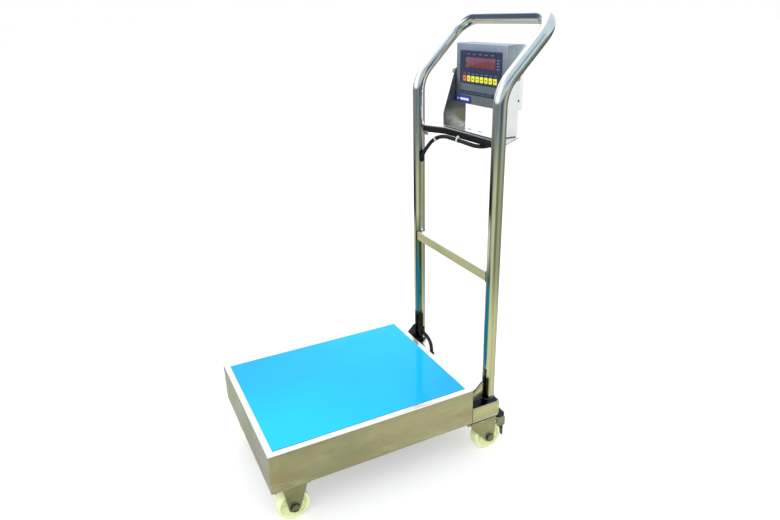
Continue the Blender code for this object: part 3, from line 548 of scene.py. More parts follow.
def turned(profile, centre, axis="X", segments=48, closed=True):
    """A profile of (along, radius) points turned about an axis through the centre."""
    first, second = [Vector(v) for v in {"X": ((0, 1, 0), (0, 0, 1)), "Y": ((0, 0, 1), (1, 0, 0)),
                                         "Z": ((1, 0, 0), (0, 1, 0))}[axis]]
    line = first.cross(second)
    bm = bmesh.new()
    rings = []
    for i in range(segments):
        t = TAU * i / segments
        out = math.cos(t) * first + math.sin(t) * second
        rings.append([bm.verts.new(Vector(centre) + along * line + max(r, 1e-5) * out) for along,
                      r in profile])
    count = len(profile) if closed else len(profile) - 1
    for ring, following in zip(rings, rings[1:] + rings[:1]):
        for j in range(count):
            k = (j + 1) % len(profile)
            bm.faces.new((ring[j], ring[k], following[k], following[j]))
    if not closed:
        for j in (0, -1):
            bm.faces.new([ring[j] for ring in rings])
    bmesh.ops.remove_doubles(bm, verts=bm.verts[:], dist=2e-5)
    return bm


def sweep(path, outline, closed=False, scale=None):
    """A section of (across, up) points carried along a path without twist."""
    path = [Vector(p) for p in path]
    count = len(path)
    bm = bmesh.new()
    heading = (path[1] - path[0]).normalized()
    across = heading.orthogonal().normalized()
    up = heading.cross(across)
    rings = []
    for i, point in enumerate(path):
        after = path[(i + 1) % count] if closed or i + 1 < count else point
        before = path[i - 1] if closed or i else point
        tangent = (after - before).normalized()
        turn = heading.rotation_difference(tangent)
        across, up, heading = turn @ across, turn @ up, tangent
        size = scale(i / count) if scale else 1.0
        rings.append([bm.verts.new(point + size * (a * across + b * up)) for a, b in outline])
    sections = len(outline)
    pairs = list(zip(rings, rings[1:])) + ([(rings[-1], rings[0])] if closed else [])
    for ring, following in pairs:
        for k in range(sections):
            n = (k + 1) % sections
            bm.faces.new((ring[k], ring[n], following[n], following[k]))
    if not closed:
        bm.faces.new(rings[0])
        bm.faces.new(rings[-1])
    return bm


def loft(sections):
    """Joins equal rows of points, given in order along the shape, and closes both ends."""
    bm = bmesh.new()
    rings = [[bm.verts.new(p) for p in row] for row in sections]
    for ring, following in zip(rings, rings[1:]):
        for k in range(len(ring)):
            n = (k + 1) % len(ring)
            bm.faces.new((ring[k], ring[n], following[n], following[k]))
    bm.faces.new(rings[0])
    bm.faces.new(rings[-1])
    return bm


def bead(path, radius, closed=False):
    """A rippled weld bead along a path."""
    section = circle((0, 0), radius, 8)
    steps = len(path)

    def ripple(t):
        return 1 + 0.13 * math.sin(t * steps * 1.9) + 0.06 * math.sin(t * 37)
    return sweep(path, section, closed, ripple)


def thicken(bm, sheet, offset=-1):
    """Gives a surface its sheet thickness, inwards."""
    item = plain_object("sheet", bm)
    if max(item.data.polygons, key=lambda f: f.area).normal.z < 0:
        item.data.flip_normals()
    thick = item.modifiers.new("Sheet", "SOLIDIFY")
    thick.thickness, thick.offset, thick.use_even_offset = sheet, offset, True
    result = item.evaluated_get(bpy.context.evaluated_depsgraph_get())
    mesh = bpy.data.meshes.new_from_object(result)
    made = bmesh.new()
    made.from_mesh(mesh)
    bpy.data.objects.remove(item)
    return made


def merge(*shapes):
    """Puts several shapes into the first one."""
    first = shapes[0]
    for other in shapes[1:]:
        mesh = bpy.data.meshes.new("merge")
        bmesh.ops.recalc_face_normals(other, faces=other.faces[:])
        other.to_mesh(mesh)
        other.free()
        first.from_mesh(mesh)
        bpy.data.meshes.remove(mesh)
    return first


def plain_object(name, bm):
    bmesh.ops.recalc_face_normals(bm, faces=bm.faces[:])
    mesh = bpy.data.meshes.new(name)
    bm.to_mesh(mesh)
    bm.free()
    item = bpy.data.objects.new(name, mesh)
    bpy.context.scene.collection.objects.link(item)
    return item


def carve(bm, *tools):
    """Cuts shapes out of a shape."""
    item = plain_object("carved", bm)
    for tool in tools:
        cutter = plain_object("cutter", tool)
        cut = item.modifiers.new("Cut", "BOOLEAN")
        cut.operation = "DIFFERENCE"
        cut.solver = "EXACT"
        cut.object = cutter
        result = item.evaluated_get(bpy.context.evaluated_depsgraph_get())
        mesh = bpy.data.meshes.new_from_object(result)
        item.modifiers.clear()
        item.data = mesh
        bpy.data.objects.remove(cutter)
    made = bmesh.new()
    made.from_mesh(item.data)
    bpy.data.objects.remove(item)
    return made


def piece(name, bm, material, body="root", replaces=(), smooth=32):
    """Turns a shape into a finished piece that rides on a body."""
    item = plain_object(name, bm)
    item.data.materials.append(MATERIALS[material])
    item.data.shade_smooth()
    item.data.set_sharp_from_angle(angle=math.radians(smooth))
    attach(item, body)
    if replaces:
        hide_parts(*replaces)
    return item


def second_finish(item, material, wanted):
    """Gives the faces that are wanted one more material."""
    item.data.materials.append(MATERIALS[material])
    for face in item.data.polygons:
        if wanted(face):
            face.material_index = len(item.data.materials) - 1


def hexagon(centre, across, turn=0.0):
    return circle(centre, across / math.sqrt(3), 6, turn)


def bolt_head(centre, axis, direction, across=0.008, thick=0.0035, washer=0.0055):
    """A hexagon head on its washer, standing from a face at the centre."""
    index = "XYZ".index(axis)
    flat = [c for i, c in enumerate(centre) if i != index]
    base = centre[index]
    ring = turned([(0, 0.0005), (0, washer), (direction * 0.0008, washer),
                   (direction * 0.001, washer - 0.0004),
                   (direction * 0.001, 0.0005)], centre, axis, 24)
    head = prism(hexagon(flat, across, 12), axis, base + direction * 0.001,
                 base + direction * (0.001 + thick),
                 0.0004)
    return merge(ring, head)


def smooth_route(points, per_span):
    """A Catmull-Rom curve through the points."""
    points = [Vector(p) for p in points]
    ends = [2 * points[0] - points[1]] + points + [2 * points[-1] - points[-2]]
    result = []
    for a, b, c, d in zip(ends, ends[1:], ends[2:], ends[3:]):
        for i in range(per_span):
            t = i / per_span
            result.append(0.5 * (2 * b + (c - a) * t + (2 * a - 5 * b + 4 * c - d) * t ** 2
                                 + (3 * b - a - 3 * c + d) * t ** 3))
    return result + [points[-1]]


# Weighing pan and its film
def make_pan():
    """A folded tray with rounded, welded corners, open at the bottom, its skirts hemmed inside."""
    bm = block(PAN_LOW, PAN_HIGH)
    middle, fold_radius = (PAN_LOW.z + PAN_HIGH.z) / 2, 0.0028
    folds = [e for e in bm.edges if not all(v.co.z < middle for v in e.verts)]
    bmesh.ops.bevel(bm, geom=folds, offset=fold_radius, segments=4, profile=0.5, affect="EDGES")
    bmesh.ops.delete(bm, geom=[f for f in bm.faces if f.normal.z < -0.9], context="FACES")
    tab = PAN_HIGH.x - 0.006
    for place, normal in (((0, 0, REAR_SKIRT_BOTTOM), (0, 0, 1)), ((tab, 0, 0), (1, 0, 0)),
                          ((-tab, 0, 0), (1, 0, 0))):
        everything = bm.verts[:] + bm.edges[:] + bm.faces[:]
        bmesh.ops.bisect_plane(bm, geom=everything, plane_co=place, plane_no=normal)
    gone = [f for f in bm.faces if f.calc_center_median().y > PAN_HIGH.y - 0.0005
            and f.calc_center_median().z < REAR_SKIRT_BOTTOM and abs(f.calc_center_median().x) < tab]
    bmesh.ops.delete(bm, geom=gone, context="FACES")
    pan = piece("weighing_pan_shell", thicken(bm, SHEET), "pan", "weighing_pan",
                ["weighing_pan"])
    # painted highlight: the pan's top is near white, brighter than its skirts
    second_finish(pan, "top", lambda f: f.center.z > PAN_HIGH.z - 0.0030 and f.normal.z > 0.25)

    hem, tall = 0.0011, 0.011
    inner = PAN_HIGH.x - SHEET
    front = PAN_LOW.y + SHEET
    strips = [block((sign * inner - (hem if sign > 0 else 0), front + 0.004, PAN_LOW.z),
                    (sign * inner + (hem if sign < 0 else 0), PAN_HIGH.y - 0.006, PAN_LOW.z + tall), 0.0004)
              for _, sign in SIDES]
    strips.append(block((-inner + 0.004, front, PAN_LOW.z), (inner - 0.004, front + hem, PAN_LOW.z + tall),
                        0.0004))
    strips.append(block((-inner + 0.012, PAN_HIGH.y - SHEET - hem, REAR_SKIRT_BOTTOM),
                        (inner - 0.012, PAN_HIGH.y - SHEET, REAR_SKIRT_BOTTOM + tall), 0.0004))
    piece("pan_hems", merge(*strips), "pan", "weighing_pan")

    corners = []
    steps, tall = 40, 0.086
    for _, sign in SIDES:
        for y, inward in ((PAN_LOW.y + SHEET, 1), (PAN_HIGH.y - SHEET, -1)):
            x = sign * (PAN_HIGH.x - SHEET)
            path = [(x - sign * 0.0006, y + inward * 0.0006, PAN_LOW.z + 0.004 + tall * i / steps)
                    for i in range(steps + 1)]
            corners.append(bead(path, 0.0012))
    piece("pan_corner_welds", merge(*corners), "weld", "weighing_pan")


def make_film():
    """The film lies on the pan with small trapped bubbles, and its edges stand off a hair."""
    columns, rows, skin = 74, 94, 0.00016
    swell_by, lift_by, curl_by, margin = 0.00012, 0.0002, 0.0005, 0.006
    size = FILM_HIGH - FILM_LOW
    bm = bmesh.new()
    grid = []
    for j in range(rows + 1):
        row = []
        for i in range(columns + 1):
            u, v = i / columns, j / rows
            x, y = FILM_LOW.x + u * size.x, FILM_LOW.y + v * size.y
            edge = min(u * size.x, (1 - u) * size.x, v * size.y, (1 - v) * size.y)
            swell = (0.5 + noise.noise(Vector((x * 7, y * 5, 0.4)))) * swell_by
            curl = lift_by + curl_by * max(0.0, noise.noise(Vector((x * 9, y * 9, 3))))
            lift = max(0.0, 1 - edge / margin) ** 2 * curl
            row.append(bm.verts.new((x, y, FILM_LOW.z + 0.00003 + swell * min(1.0, edge / 0.03) + lift)))
        grid.append(row)
    for row, following in zip(grid, grid[1:]):
        for i in range(columns):
            bm.faces.new((row[i], row[i + 1], following[i + 1], following[i]))
    piece("blue_film", thicken(bm, skin, 1), "film", "weighing_pan", ["protective_film"],
          smooth=60)


# Base
def make_deck():
    """The folded rear deck with its cable hole, grommet, seams and the welds round the feet of the columns.
    """
    shell = block(DECK_LOW, DECK_HIGH, 0.0014, 3)
    wall, around = 0.0025, TUBE_RADIUS + 0.0006
    room = block(DECK_LOW + Vector((wall,) * 3), DECK_HIGH - Vector((wall,) * 3), 0.001, 2)
    hole = prism(circle(DECK_HOLE, 0.0065, 32), "Z", DECK_HIGH.z - 0.006, DECK_HIGH.z + 0.01)
    seam = [block((sign * (DECK_HIGH.x - 0.0032) - 0.0002, DECK_LOW.y - 0.01, DECK_LOW.z - 0.01),
                  (sign * (DECK_HIGH.x - 0.0032) + 0.0002, DECK_HIGH.y + 0.01, DECK_LOW.z + 0.0004))
            for _, sign in SIDES]
    deck = piece("rear_deck_shell", carve(shell, room, hole, *seam), "steel", replaces=["rear_deck"])
    # the top gets the deck steel with its painted dark reflection round the column feet
    second_finish(deck, "deck", lambda f: f.center.z > DECK_HIGH.z - 0.0012 and f.normal.z > 0.25)
    ring = [(-0.0016, 0.0048), (0.0012, 0.0048), (0.0018, 0.0056), (0.0016, 0.0078), (0.0003, 0.0088),
            (0.0001, 0.0064), (-0.0016, 0.0064)]
    piece("deck_grommet", turned(ring, (*DECK_HOLE, DECK_HIGH.z), "Z", 40), "rubber", "root")
    for side, sign in SIDES:
        x = sign * COLUMN_X
        foot = [(*point, DECK_HIGH.z + 0.0008) for point in fluted((x, COLUMN_Y), around, around, 72)]
        # painted shade: the weld round each column foot is nearly black
        piece(f"foot_weld_{side}", bead(foot, 0.0015, closed=True), "painted_shade")


def make_gussets():
    for side, _ in SIDES:
        low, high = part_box(f"gusset_{side}")
        outline = [(low.y, low.z), (high.y, low.z), (high.y, high.z)]
        outline += arc((high.y - 0.0035, high.z - 0.003), 0.003, 90, 138, 4)
        outline += arc((low.y + 0.003, low.z + 0.0045), 0.003, 138, 180, 4)
        plate = piece(f"gusset_plate_{side}", prism(outline, "X", low.x, high.x, 0.0005), "steel",
                      replaces=[f"gusset_{side}"])
        # painted shade: the whole left gusset and the edges of the right one are nearly black
        second_finish(plate, "painted_shade", lambda f: abs(f.normal.x) < 0.5 or side == "left")
        welds = []
        along, tall, steps = 0.0415, 0.043, 26
        for face in (low.x, high.x):
            lying = [(face, low.y + 0.002 + along * i / steps, low.z + 0.0003) for i in range(steps + 1)]
            standing = [(face, high.y + 0.0002, low.z + 0.001 + tall * i / steps) for i in range(steps + 1)]
            welds += [bead(lying, 0.0012), bead(standing, 0.0012)]
        # painted shade: the gusset welds are nearly black
        piece(f"gusset_weld_{side}", merge(*welds), "painted_shade")


def fillet(corner, before, after, radius, steps):
    """Points of an arc that rounds a corner between the directions to its two neighbours."""
    corner, into, out = Vector(corner), Vector(before) - Vector(corner), Vector(after) - Vector(corner)
    into.normalize()
    out.normalize()
    half = into.angle(out) / 2
    centre = corner + (into + out).normalized() * (radius / math.sin(half))
    start = corner + into * (radius / math.tan(half)) - centre
    end = corner + out * (radius / math.tan(half)) - centre
    normal = start.cross(end).normalized()
    turn = start.angle(end)
    return [centre + Matrix.Rotation(turn * i / steps, 3, normal) @ start for i in range(steps + 1)]


def handle_path():
    foot, top = HANDLE_LOW.z, HANDLE_HIGH.z - TUBE_RADIUS
    top_y = HANDLE_HIGH.y - TUBE_RADIUS
    corners = [(-COLUMN_X, COLUMN_Y, foot), (-COLUMN_X, COLUMN_Y, KNEE_Z), (-COLUMN_X, top_y, top),
               (COLUMN_X, top_y, top), (COLUMN_X, COLUMN_Y, KNEE_Z), (COLUMN_X, COLUMN_Y, foot)]
    bends = [(KNEE_BEND, 16), (CORNER_BEND, 22), (CORNER_BEND, 22), (KNEE_BEND, 16)]
    path = [Vector(corners[0])]
    for i, (radius, steps) in enumerate(bends, start=1):
        path += fillet(corners[i], corners[i - 1], corners[i + 1], radius, steps)
    return path + [Vector(corners[-1])]


def slot_points(z, half_height, half_width, steps=10):
    middle = half_height - half_width
    return (arc((COLUMN_Y, z + middle), half_width, 0, 180, steps)
            + arc((COLUMN_Y, z - middle), half_width, 180, 360, steps))


def make_handle():
    tube = sweep(handle_path(), circle((0, 0), TUBE_RADIUS, 48))
    holes = ((UPPER_HOLE_Z, 0.015), (LOWER_HOLE_Z, 0.013))
    for z, tall in holes:
        tool = prism(slot_points(z, tall, 0.006), "X", -COLUMN_X + 0.004, -COLUMN_X + 0.03)
        tube = carve(tube, tool)
    piece("handle_tube", tube, "tube", "root", ["handle_frame"], smooth=40)
    for name, (z, tall) in zip(("upper", "lower"), holes):
        lip = [(-COLUMN_X + math.sqrt(TUBE_RADIUS ** 2 - (y - COLUMN_Y) ** 2) + 0.0002, y, h)
               for y, h in slot_points(z, tall + 0.0002, 0.0062, 12)]
        piece(f"column_grommet_{name}", sweep(lip, circle((0, 0), 0.0011, 10), closed=True), "rubber",
              "root")


def make_crossbar():
    middle, half = (BAR_LOW + BAR_HIGH) / 2, (BAR_HIGH.z - BAR_LOW.z) / 2
    end = COLUMN_X - 0.0078
    square = ((middle.y - half, middle.z - half), (middle.y + half, middle.z + half), 0.0026)
    outline = rounded(*square, 5)
    bar = piece("crossbar_tube", prism(outline, "X", -end, end), "bar", "root",
                ["crossbar"],
                smooth=40)
    # painted highlight: the crossbar's upward faces are near white
    second_finish(bar, "top", lambda f: f.normal.z > 0.4)
    for side, sign in SIDES:
        path = rounded(*square, 3)
        seam = []
        for (y0, z0), (y1, z1) in zip(path, path[1:] + path[:1]):
            steps = max(1, int(math.hypot(y1 - y0, z1 - z0) / 0.0016))
            for i in range(steps):
                y, z = y0 + (y1 - y0) * i / steps, z0 + (z1 - z0) * i / steps
                deep = math.sqrt(TUBE_RADIUS ** 2 - min(abs(y - COLUMN_Y), TUBE_RADIUS - 1e-4) ** 2)
                seam.append((sign * (COLUMN_X - deep), y, z))
        # painted shade: the welds where the crossbar meets the columns are nearly black
        piece(f"crossbar_weld_{side}", bead(seam, 0.0017, closed=True), "painted_shade", "root")


# Indicator
def make_shelf():
    """The shelf folds down into a flange along its front; its ends run forward to the columns."""
    sheet, bend = 0.0025, 0.0045
    top, bottom = SHELF_HIGH.z, SHELF_LOW.z
    tip, shoulder, ear = 0.163, 0.097, 0.110
    front_y, tip_front, rear_y, tip_rear = 0.238, 0.208, SHELF_HIGH.y, 0.228
    bolt_x, bolt_y = 0.085, 0.2505

    def front_at(x):
        return front_y + (tip_front - front_y) * max(0.0, x - shoulder) / (tip - shoulder)

    def rear_at(x):
        return rear_y + (tip_rear - rear_y) * max(0.0, x - ear) / (tip - ear)

    rows = []
    for x in (-tip, -ear, -shoulder, 0.0, shoulder, ear, tip):
        y, rear = front_at(abs(x)), rear_at(abs(x))
        outer = arc((y + bend, top - bend), bend, 180, 90, 6)
        inner = arc((y + bend, top - bend), bend - sheet, 90, 180, 6)
        section = [(y, bottom)] + outer + [(rear, top), (rear, top - sheet)] + inner + [(y + sheet, bottom)]
        rows.append([(x, *p) for p in section])
    shelf = soften(loft(rows), 0.0004, 1, 60)
    piece("shelf_plate", shelf, "shelf", replaces=["indicator_shelf"])

    welds = []
    around, steps, tall = TUBE_RADIUS + 0.0003, 16, top - bottom - 0.003
    for _, sign in SIDES:
        path = [(sign * (COLUMN_X - around * math.cos(a)), COLUMN_Y + around * math.sin(a), top - 0.0005)
                for a in [math.radians(degrees) for degrees in range(6, 60, 3)]]
        line = [(sign * (COLUMN_X - TUBE_RADIUS - 0.0002), COLUMN_Y + 0.0035,
                 bottom + 0.001 + tall * i / steps)
                for i in range(steps + 1)]
        welds += [bead(path, 0.0013), bead(line, 0.0012)]
    piece("shelf_welds", merge(*welds), "weld")

    tab = plaque((-0.1515, 0.7425), (-0.1335, 0.7520), 0.0015, 3, 0.2105, 0.2128, 0.0004)
    piece("shelf_tab", tab, "zinc")

    bolts = [bolt_head((x, bolt_y, top - sheet), "Z", -1) for x in (-bolt_x, bolt_x)]
    piece("shelf_bolts", merge(*bolts), "zinc")


def make_yoke():
    """A U-shaped bracket: slotted base, rounded bends and two arms that narrow to the pivot."""
    sheet, bend = 0.003, 0.0045
    low, front, rear = YOKE_LOW.z, YOKE_LOW.y, YOKE_HIGH.y
    half = YOKE_HIGH.x
    rise, arm_top, tip_radius = low + bend, 0.815, 0.0125
    slot_x, screw_x, screw_y = 0.022, 0.078, 0.2745
    section = arc((half - bend, rise), bend, 270, 360, 6)
    section += [(half - sheet, rise)] + arc((half - bend, rise), bend - sheet, 360, 270, 5)[1:]
    mirrored = [(-x, z) for x, z in reversed(section)]
    base = prism(section + mirrored, "Y", front, rear)
    slots = [prism(rounded((x - 0.008, 0.2590), (x + 0.008, 0.2645), 0.0025, 5), "Z", low - 0.01, low + 0.01)
             for x in (-slot_x, slot_x)]
    shape = soften(carve(base, *slots), 0.00035, 1, 60)
    outline = [(front, rise), (rear, rise), (rear, arm_top)]
    outline += arc((PIVOT.y, PIVOT.z), tip_radius, -5, 165, 18)
    outline += arc((front + 0.004, 0.8005), 0.004, 160, 180, 3)
    for _, sign in SIDES:
        arm = prism(outline, "X", sign * half, sign * (half - sheet), 0.00045, 2)
        shape = merge(shape, arm)
    bracket = piece("yoke_bracket", shape, "yoke", replaces=["indicator_yoke"])
    # painted highlight: the top of the base plate is near white
    second_finish(bracket, "yoke_foot", lambda f: f.normal.z > 0.7 and f.center.z < low + 0.006)
    # painted highlight: the outer faces of the arms are near white
    second_finish(bracket, "yoke_side", lambda f: f.normal.x * math.copysign(1, f.center.x) > 0.7
                  and abs(f.center.x) > half - 0.001)

    screws = []
    for x in (-screw_x, screw_x):
        screws.append(turned([(0, 0.0003), (0, 0.0062), (0.0009, 0.0064), (0.0012, 0.0058), (0.0012, 0.0040),
                              (0.0030, 0.0038), (0.0037, 0.0028), (0.0037, 0.0012), (0.0026, 0.0012),
                              (0.0026, 0.0003)], (x, screw_y, low + sheet), "Z", 32))
    piece("yoke_screws", merge(*screws), "zinc")

    washers = [turned(both_ways([(0.0010, 0.0036), (0.0010, 0.0086), (0.0007, 0.0090)]),
                      (sign * (half - sheet - 0.00135), PIVOT.y, PIVOT.z), "X", 40)
               for _, sign in SIDES]
    piece("pivot_washers", merge(*washers), "rubber", "root")


def make_clamp_screws():
    """Small bright cap screws with a knurled head, a hexagon socket and a washer."""
    for side, sign in SIDES:
        low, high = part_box(f"clamp_screw_{side}")
        face = YOKE_HIGH.x + 0.0003
        outer = max(abs(low.x), abs(high.x))
        head = prism(fluted((PIVOT.y, PIVOT.z), 0.0057, 0.0060, 72), "X", sign * (face + 0.0014),
                     sign * (outer - 0.0002))
        socket = prism(hexagon((PIVOT.y, PIVOT.z), 0.005), "X", sign * (outer - 0.0035),
                       sign * (outer + 0.002))
        head = carve(head, socket)
        washer = turned([(0, 0.0032), (0, 0.0064), (sign * 0.0009, 0.0065), (sign * 0.0012, 0.0062),
                         (sign * 0.0012, 0.0032)], (sign * face, PIVOT.y, PIVOT.z), "X", 36)
        stem = turned(both_ways([(0.0026, 0.0001), (0.0026, 0.0030)]),
                      (sign * (face - 0.0026), PIVOT.y, PIVOT.z), "X", 24)
        piece(f"clamp_cap_{side}", merge(head, washer, stem), "zinc", f"clamp_screw_{side}",
              [f"clamp_screw_{side}"])


def case_half(low, high, way, cuts):
    """One folded half of the housing, open on the side of y that way points to."""
    wall, past, fold = 0.0015, 0.01, 0.0022
    seam = high.y if way > 0 else low.y
    extra = Vector((0, 0.004, 0))
    shell = block(low, high + extra) if way > 0 else block(low - extra, high)
    folds = [e for e in shell.edges if not all((v.co.y - seam) * way > 0 for v in e.verts)]
    bmesh.ops.bevel(shell, geom=folds, offset=fold, segments=4, profile=0.5, affect="EDGES")
    ends = sorted((seam, seam + way * 0.02))
    beyond = block((-0.2, ends[0], 0.7), (0.2, ends[1], 1.1))
    room = block(low + Vector((wall, wall if way > 0 else -past, wall)),
                 high - Vector((wall, -past if way > 0 else wall, wall)))
    return carve(shell, beyond, room, *cuts)


def make_housing():
    """Front shell with a display pocket, and the rear cover that closes it."""
    slack = 0.0004
    pocket = block((WINDOW_LOW.x - slack, HOUSING_LOW.y - 0.01, WINDOW_LOW.z - slack),
                   (WINDOW_HIGH.x + slack, HOUSING_LOW.y + 0.01, WINDOW_HIGH.z + slack))
    vents = [plaque((x - 0.0012, 0.928), (x + 0.0012, 0.946), 0.001, 3, COVER_HIGH.y - 0.004,
                    COVER_HIGH.y + 0.01) for x in [0.030 + 0.006 * i for i in range(8)]]
    for name, node, low, high, way, cuts in (
            ("housing_front", "indicator_housing", HOUSING_LOW, HOUSING_HIGH, 1, [pocket]),
            ("housing_cover", "indicator_rear_cover", COVER_LOW, COVER_HIGH, -1, vents)):
        half = piece(name, case_half(low, high, way, cuts), "housing", "indicator", [node])
        # the side faces get the darker painted-shade copy with its painted highlight
        second_finish(half, "housing_side", lambda f: abs(f.normal.x) > 0.7)

    screws = []
    for _, sign in SIDES:
        for z in (HOUSING_LOW.z + 0.020, HOUSING_HIGH.z - 0.020):
            face = sign * COVER_HIGH.x
            dome = [(-sign * 0.0008, 0.0002), (-sign * 0.0008, 0.0030), (-sign * 0.0001, 0.0030),
                    (0, 0.0026), (0, 0.0002)]
            screws.append(turned(dome, (face, 0.3075, z), "X", 24))
        for z in (HOUSING_LOW.z + 0.012, HOUSING_HIGH.z - 0.012):
            dome = [(-0.0010, 0.0002), (-0.0010, 0.0034), (-0.0004, 0.0034), (0, 0.0026), (0, 0.0010),
                    (-0.0006, 0.0010), (-0.0006, 0.0002)]
            screws.append(turned(dome, (sign * 0.088, COVER_HIGH.y, z), "Y", 24))
    piece("housing_screws", merge(*screws), "zinc", "indicator")

    rear = COVER_HIGH.y
    plate = plaque((-0.080, 0.884), (-0.018, 0.922), 0.002, 4, rear - 0.0004, rear - 0.00002)
    piece("rear_rating_plate", plate, "print", "indicator")


def glyph(kind, x, z, size):
    """A generic mark made of bars, in the (x, z) plane."""
    bar = size * 0.16
    if kind == 0:
        return [rounded((x - size / 2, z - bar), (x + size / 2, z + bar), bar * 0.5, 2)]
    if kind == 1:
        return [rounded((x - size / 2, z + size * 0.12), (x + size / 2, z + size * 0.36), bar * 0.5, 2),
                rounded((x - size / 2, z - size * 0.36), (x + size / 2, z - size * 0.12), bar * 0.5, 2)]
    if kind == 2:
        return [[(x - size * 0.45, z - size * 0.3), (x + size * 0.45, z - size * 0.3), (x, z + size * 0.42)]]
    return [circle((x, z), size * 0.36, 14)]


def make_panel():
    """The dark membrane panel: raised border, printed marks, window, segments and eight keys."""
    face = PANEL_LOW.y
    sheet = plaque((PANEL_LOW.x, PANEL_LOW.z), (PANEL_HIGH.x, PANEL_HIGH.z), 0.0022, 5, face + 0.00025,
                   PANEL_HIGH.y + 0.0002)
    pocket = block((WINDOW_LOW.x, face - 0.01, WINDOW_LOW.z), (WINDOW_HIGH.x, face + 0.01, WINDOW_HIGH.z))
    piece("panel_sheet", carve(sheet, pocket), "panel", "indicator", ["membrane_panel"])

    inset, gap = 0.0016, 0.0003
    outer = rounded((PANEL_LOW.x + inset, PANEL_LOW.z + inset), (PANEL_HIGH.x - inset, PANEL_HIGH.z - inset),
                    0.0016, 5)
    path = [(x, face + 0.00022, z) for x, z in outer]
    piece("panel_border", sweep(path, circle((0, 0), 0.00028, 6), closed=True), "frame_blue", "indicator")

    window = plaque((WINDOW_LOW.x + gap, WINDOW_LOW.z + gap), (WINDOW_HIGH.x - gap, WINDOW_HIGH.z - gap),
                    0.0012,
                    4, face + 0.0004, face + 0.0022, 0.0003)
    piece("display_lens", window, "red", "indicator", ["display_window"])

    digits = []
    tall, wide, thick, pitch = 0.0145, 0.0078, 0.0011, 0.0176
    middle = (WINDOW_LOW.z + WINDOW_HIGH.z) / 2
    for n in range(6):
        x = (n - 2.5) * pitch
        for across, along, upright in ((0, 1, False), (0, -1, False), (-1, 0.5, True), (1, 0.5, True),
                                       (-1, -0.5, True), (1, -0.5, True)):
            cx, cz = x + across * wide / 2, middle + along * tall / 2
            half = (thick / 2, tall / 4 - 0.0006) if upright else (wide / 2 - 0.0006, thick / 2)
            digits.append(plaque((cx - half[0], cz - half[1]), (cx + half[0], cz + half[1]), 0.0004, 2,
                                 face + 0.0003, face + 0.0006))
    piece("display_segments", merge(*digits), "glow", "indicator")

    spots = []
    for i in range(8):
        low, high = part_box(f"key_{i + 1}")
        x = (low.x + high.x) / 2 - 0.0046
        spots += [(x + 0.0034 * k, x + 0.0034 * k + 0.0025, 0.8938, 0.8954, 0.0003) for k in range(3)]
    spots += [(0.0645, 0.0745, z - 0.0009, z + 0.0009, 0.0004)
              for z in [0.9285 - 0.0062 * k for k in range(4)]]
    spots += [(x - 0.0042, x + 0.0042, 0.9372, 0.9388, 0.0003)
              for x in [0.0235 * k - 0.047 for k in range(5)]]
    marks = [plaque((x0, z0), (x1, z1), radius, 2, face + 0.0001, face + 0.0004) for x0, x1, z0, z1,
             radius in spots]
    piece("panel_marks", merge(*marks), "frame_mark", "indicator")

    for i in range(8):
        node = f"key_{i + 1}"
        low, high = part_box(node)
        finish = "key_yellow" if i else "key_red"
        cap = plaque((low.x, low.z), (high.x, high.z), 0.0014, 5, low.y, low.y + 0.0011, 0.00035)
        piece(f"key_cap_{i + 1}", cap, finish, node, [node])
        x, z = (low.x + high.x) / 2, (low.z + high.z) / 2
        shapes = [prism(outline, "Y", low.y - 0.00012, low.y + 0.0002)
                  for outline in glyph(i % 4, x, z, 0.0058)]
        piece(f"key_mark_{i + 1}", merge(*shapes), "ink", node)


def make_labels():
    """A blank blue label and a grey strip with generic bars stand for the maker's printing."""
    face = HOUSING_LOW.y
    start, pitch, lengths = -0.076, 0.0118, (0.0065, 0.009)
    label = plaque((-0.0975, 0.8256), (-0.0335, 0.8434), 0.0012, 4, face - 0.0005, face + 0.0005, 0.0002)
    bars = [plaque((-0.0800, 0.8318), (-0.0425, 0.8372), 0.0016, 3, face - 0.0007, face - 0.0002),
            prism(circle((-0.0895, 0.8345), 0.0021, 18), "Y", face - 0.0007, face - 0.0002)]
    strip = plaque((-0.0805, 0.8462), (0.0560, 0.8552), 0.0008, 3, face - 0.0004, face + 0.0004, 0.00015)
    dashes = [plaque((start + pitch * k, 0.8490), (start + pitch * k + lengths[k % 2], 0.8524), 0.0006, 2,
                     face - 0.00055, face - 0.0002) for k in range(11)]
    for name, shapes, finish in (("label", [label], "label"), ("label_bars", bars, "print"),
                                 ("strip", [strip], "strip"), ("strip_dashes", dashes, "frame_blue")):
        piece(f"front_{name}", merge(*shapes), finish, "indicator")


def make_gland():
    low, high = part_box("cable_gland")
    x, y = (low.x + high.x) / 2, (low.y + high.y) / 2
    nut = prism(hexagon((x, y), 0.0170), "Z", GLAND_SPLIT_Z, high.z, 0.0005)
    dome = prism(fluted((x, y), 0.0080, 0.0083, 40), "Z", 0.8035, GLAND_SPLIT_Z)
    nose = turned([(0, 0.0042), (0, 0.0058), (0.0008, 0.0063), (0.0060, 0.0072), (0.0088, 0.0078),
                   (0.0088, 0.0042)],
                  (x, y, low.z), "Z", 40)
    piece("gland_body", merge(nut, dome, nose), "black", "indicator", ["cable_gland"])


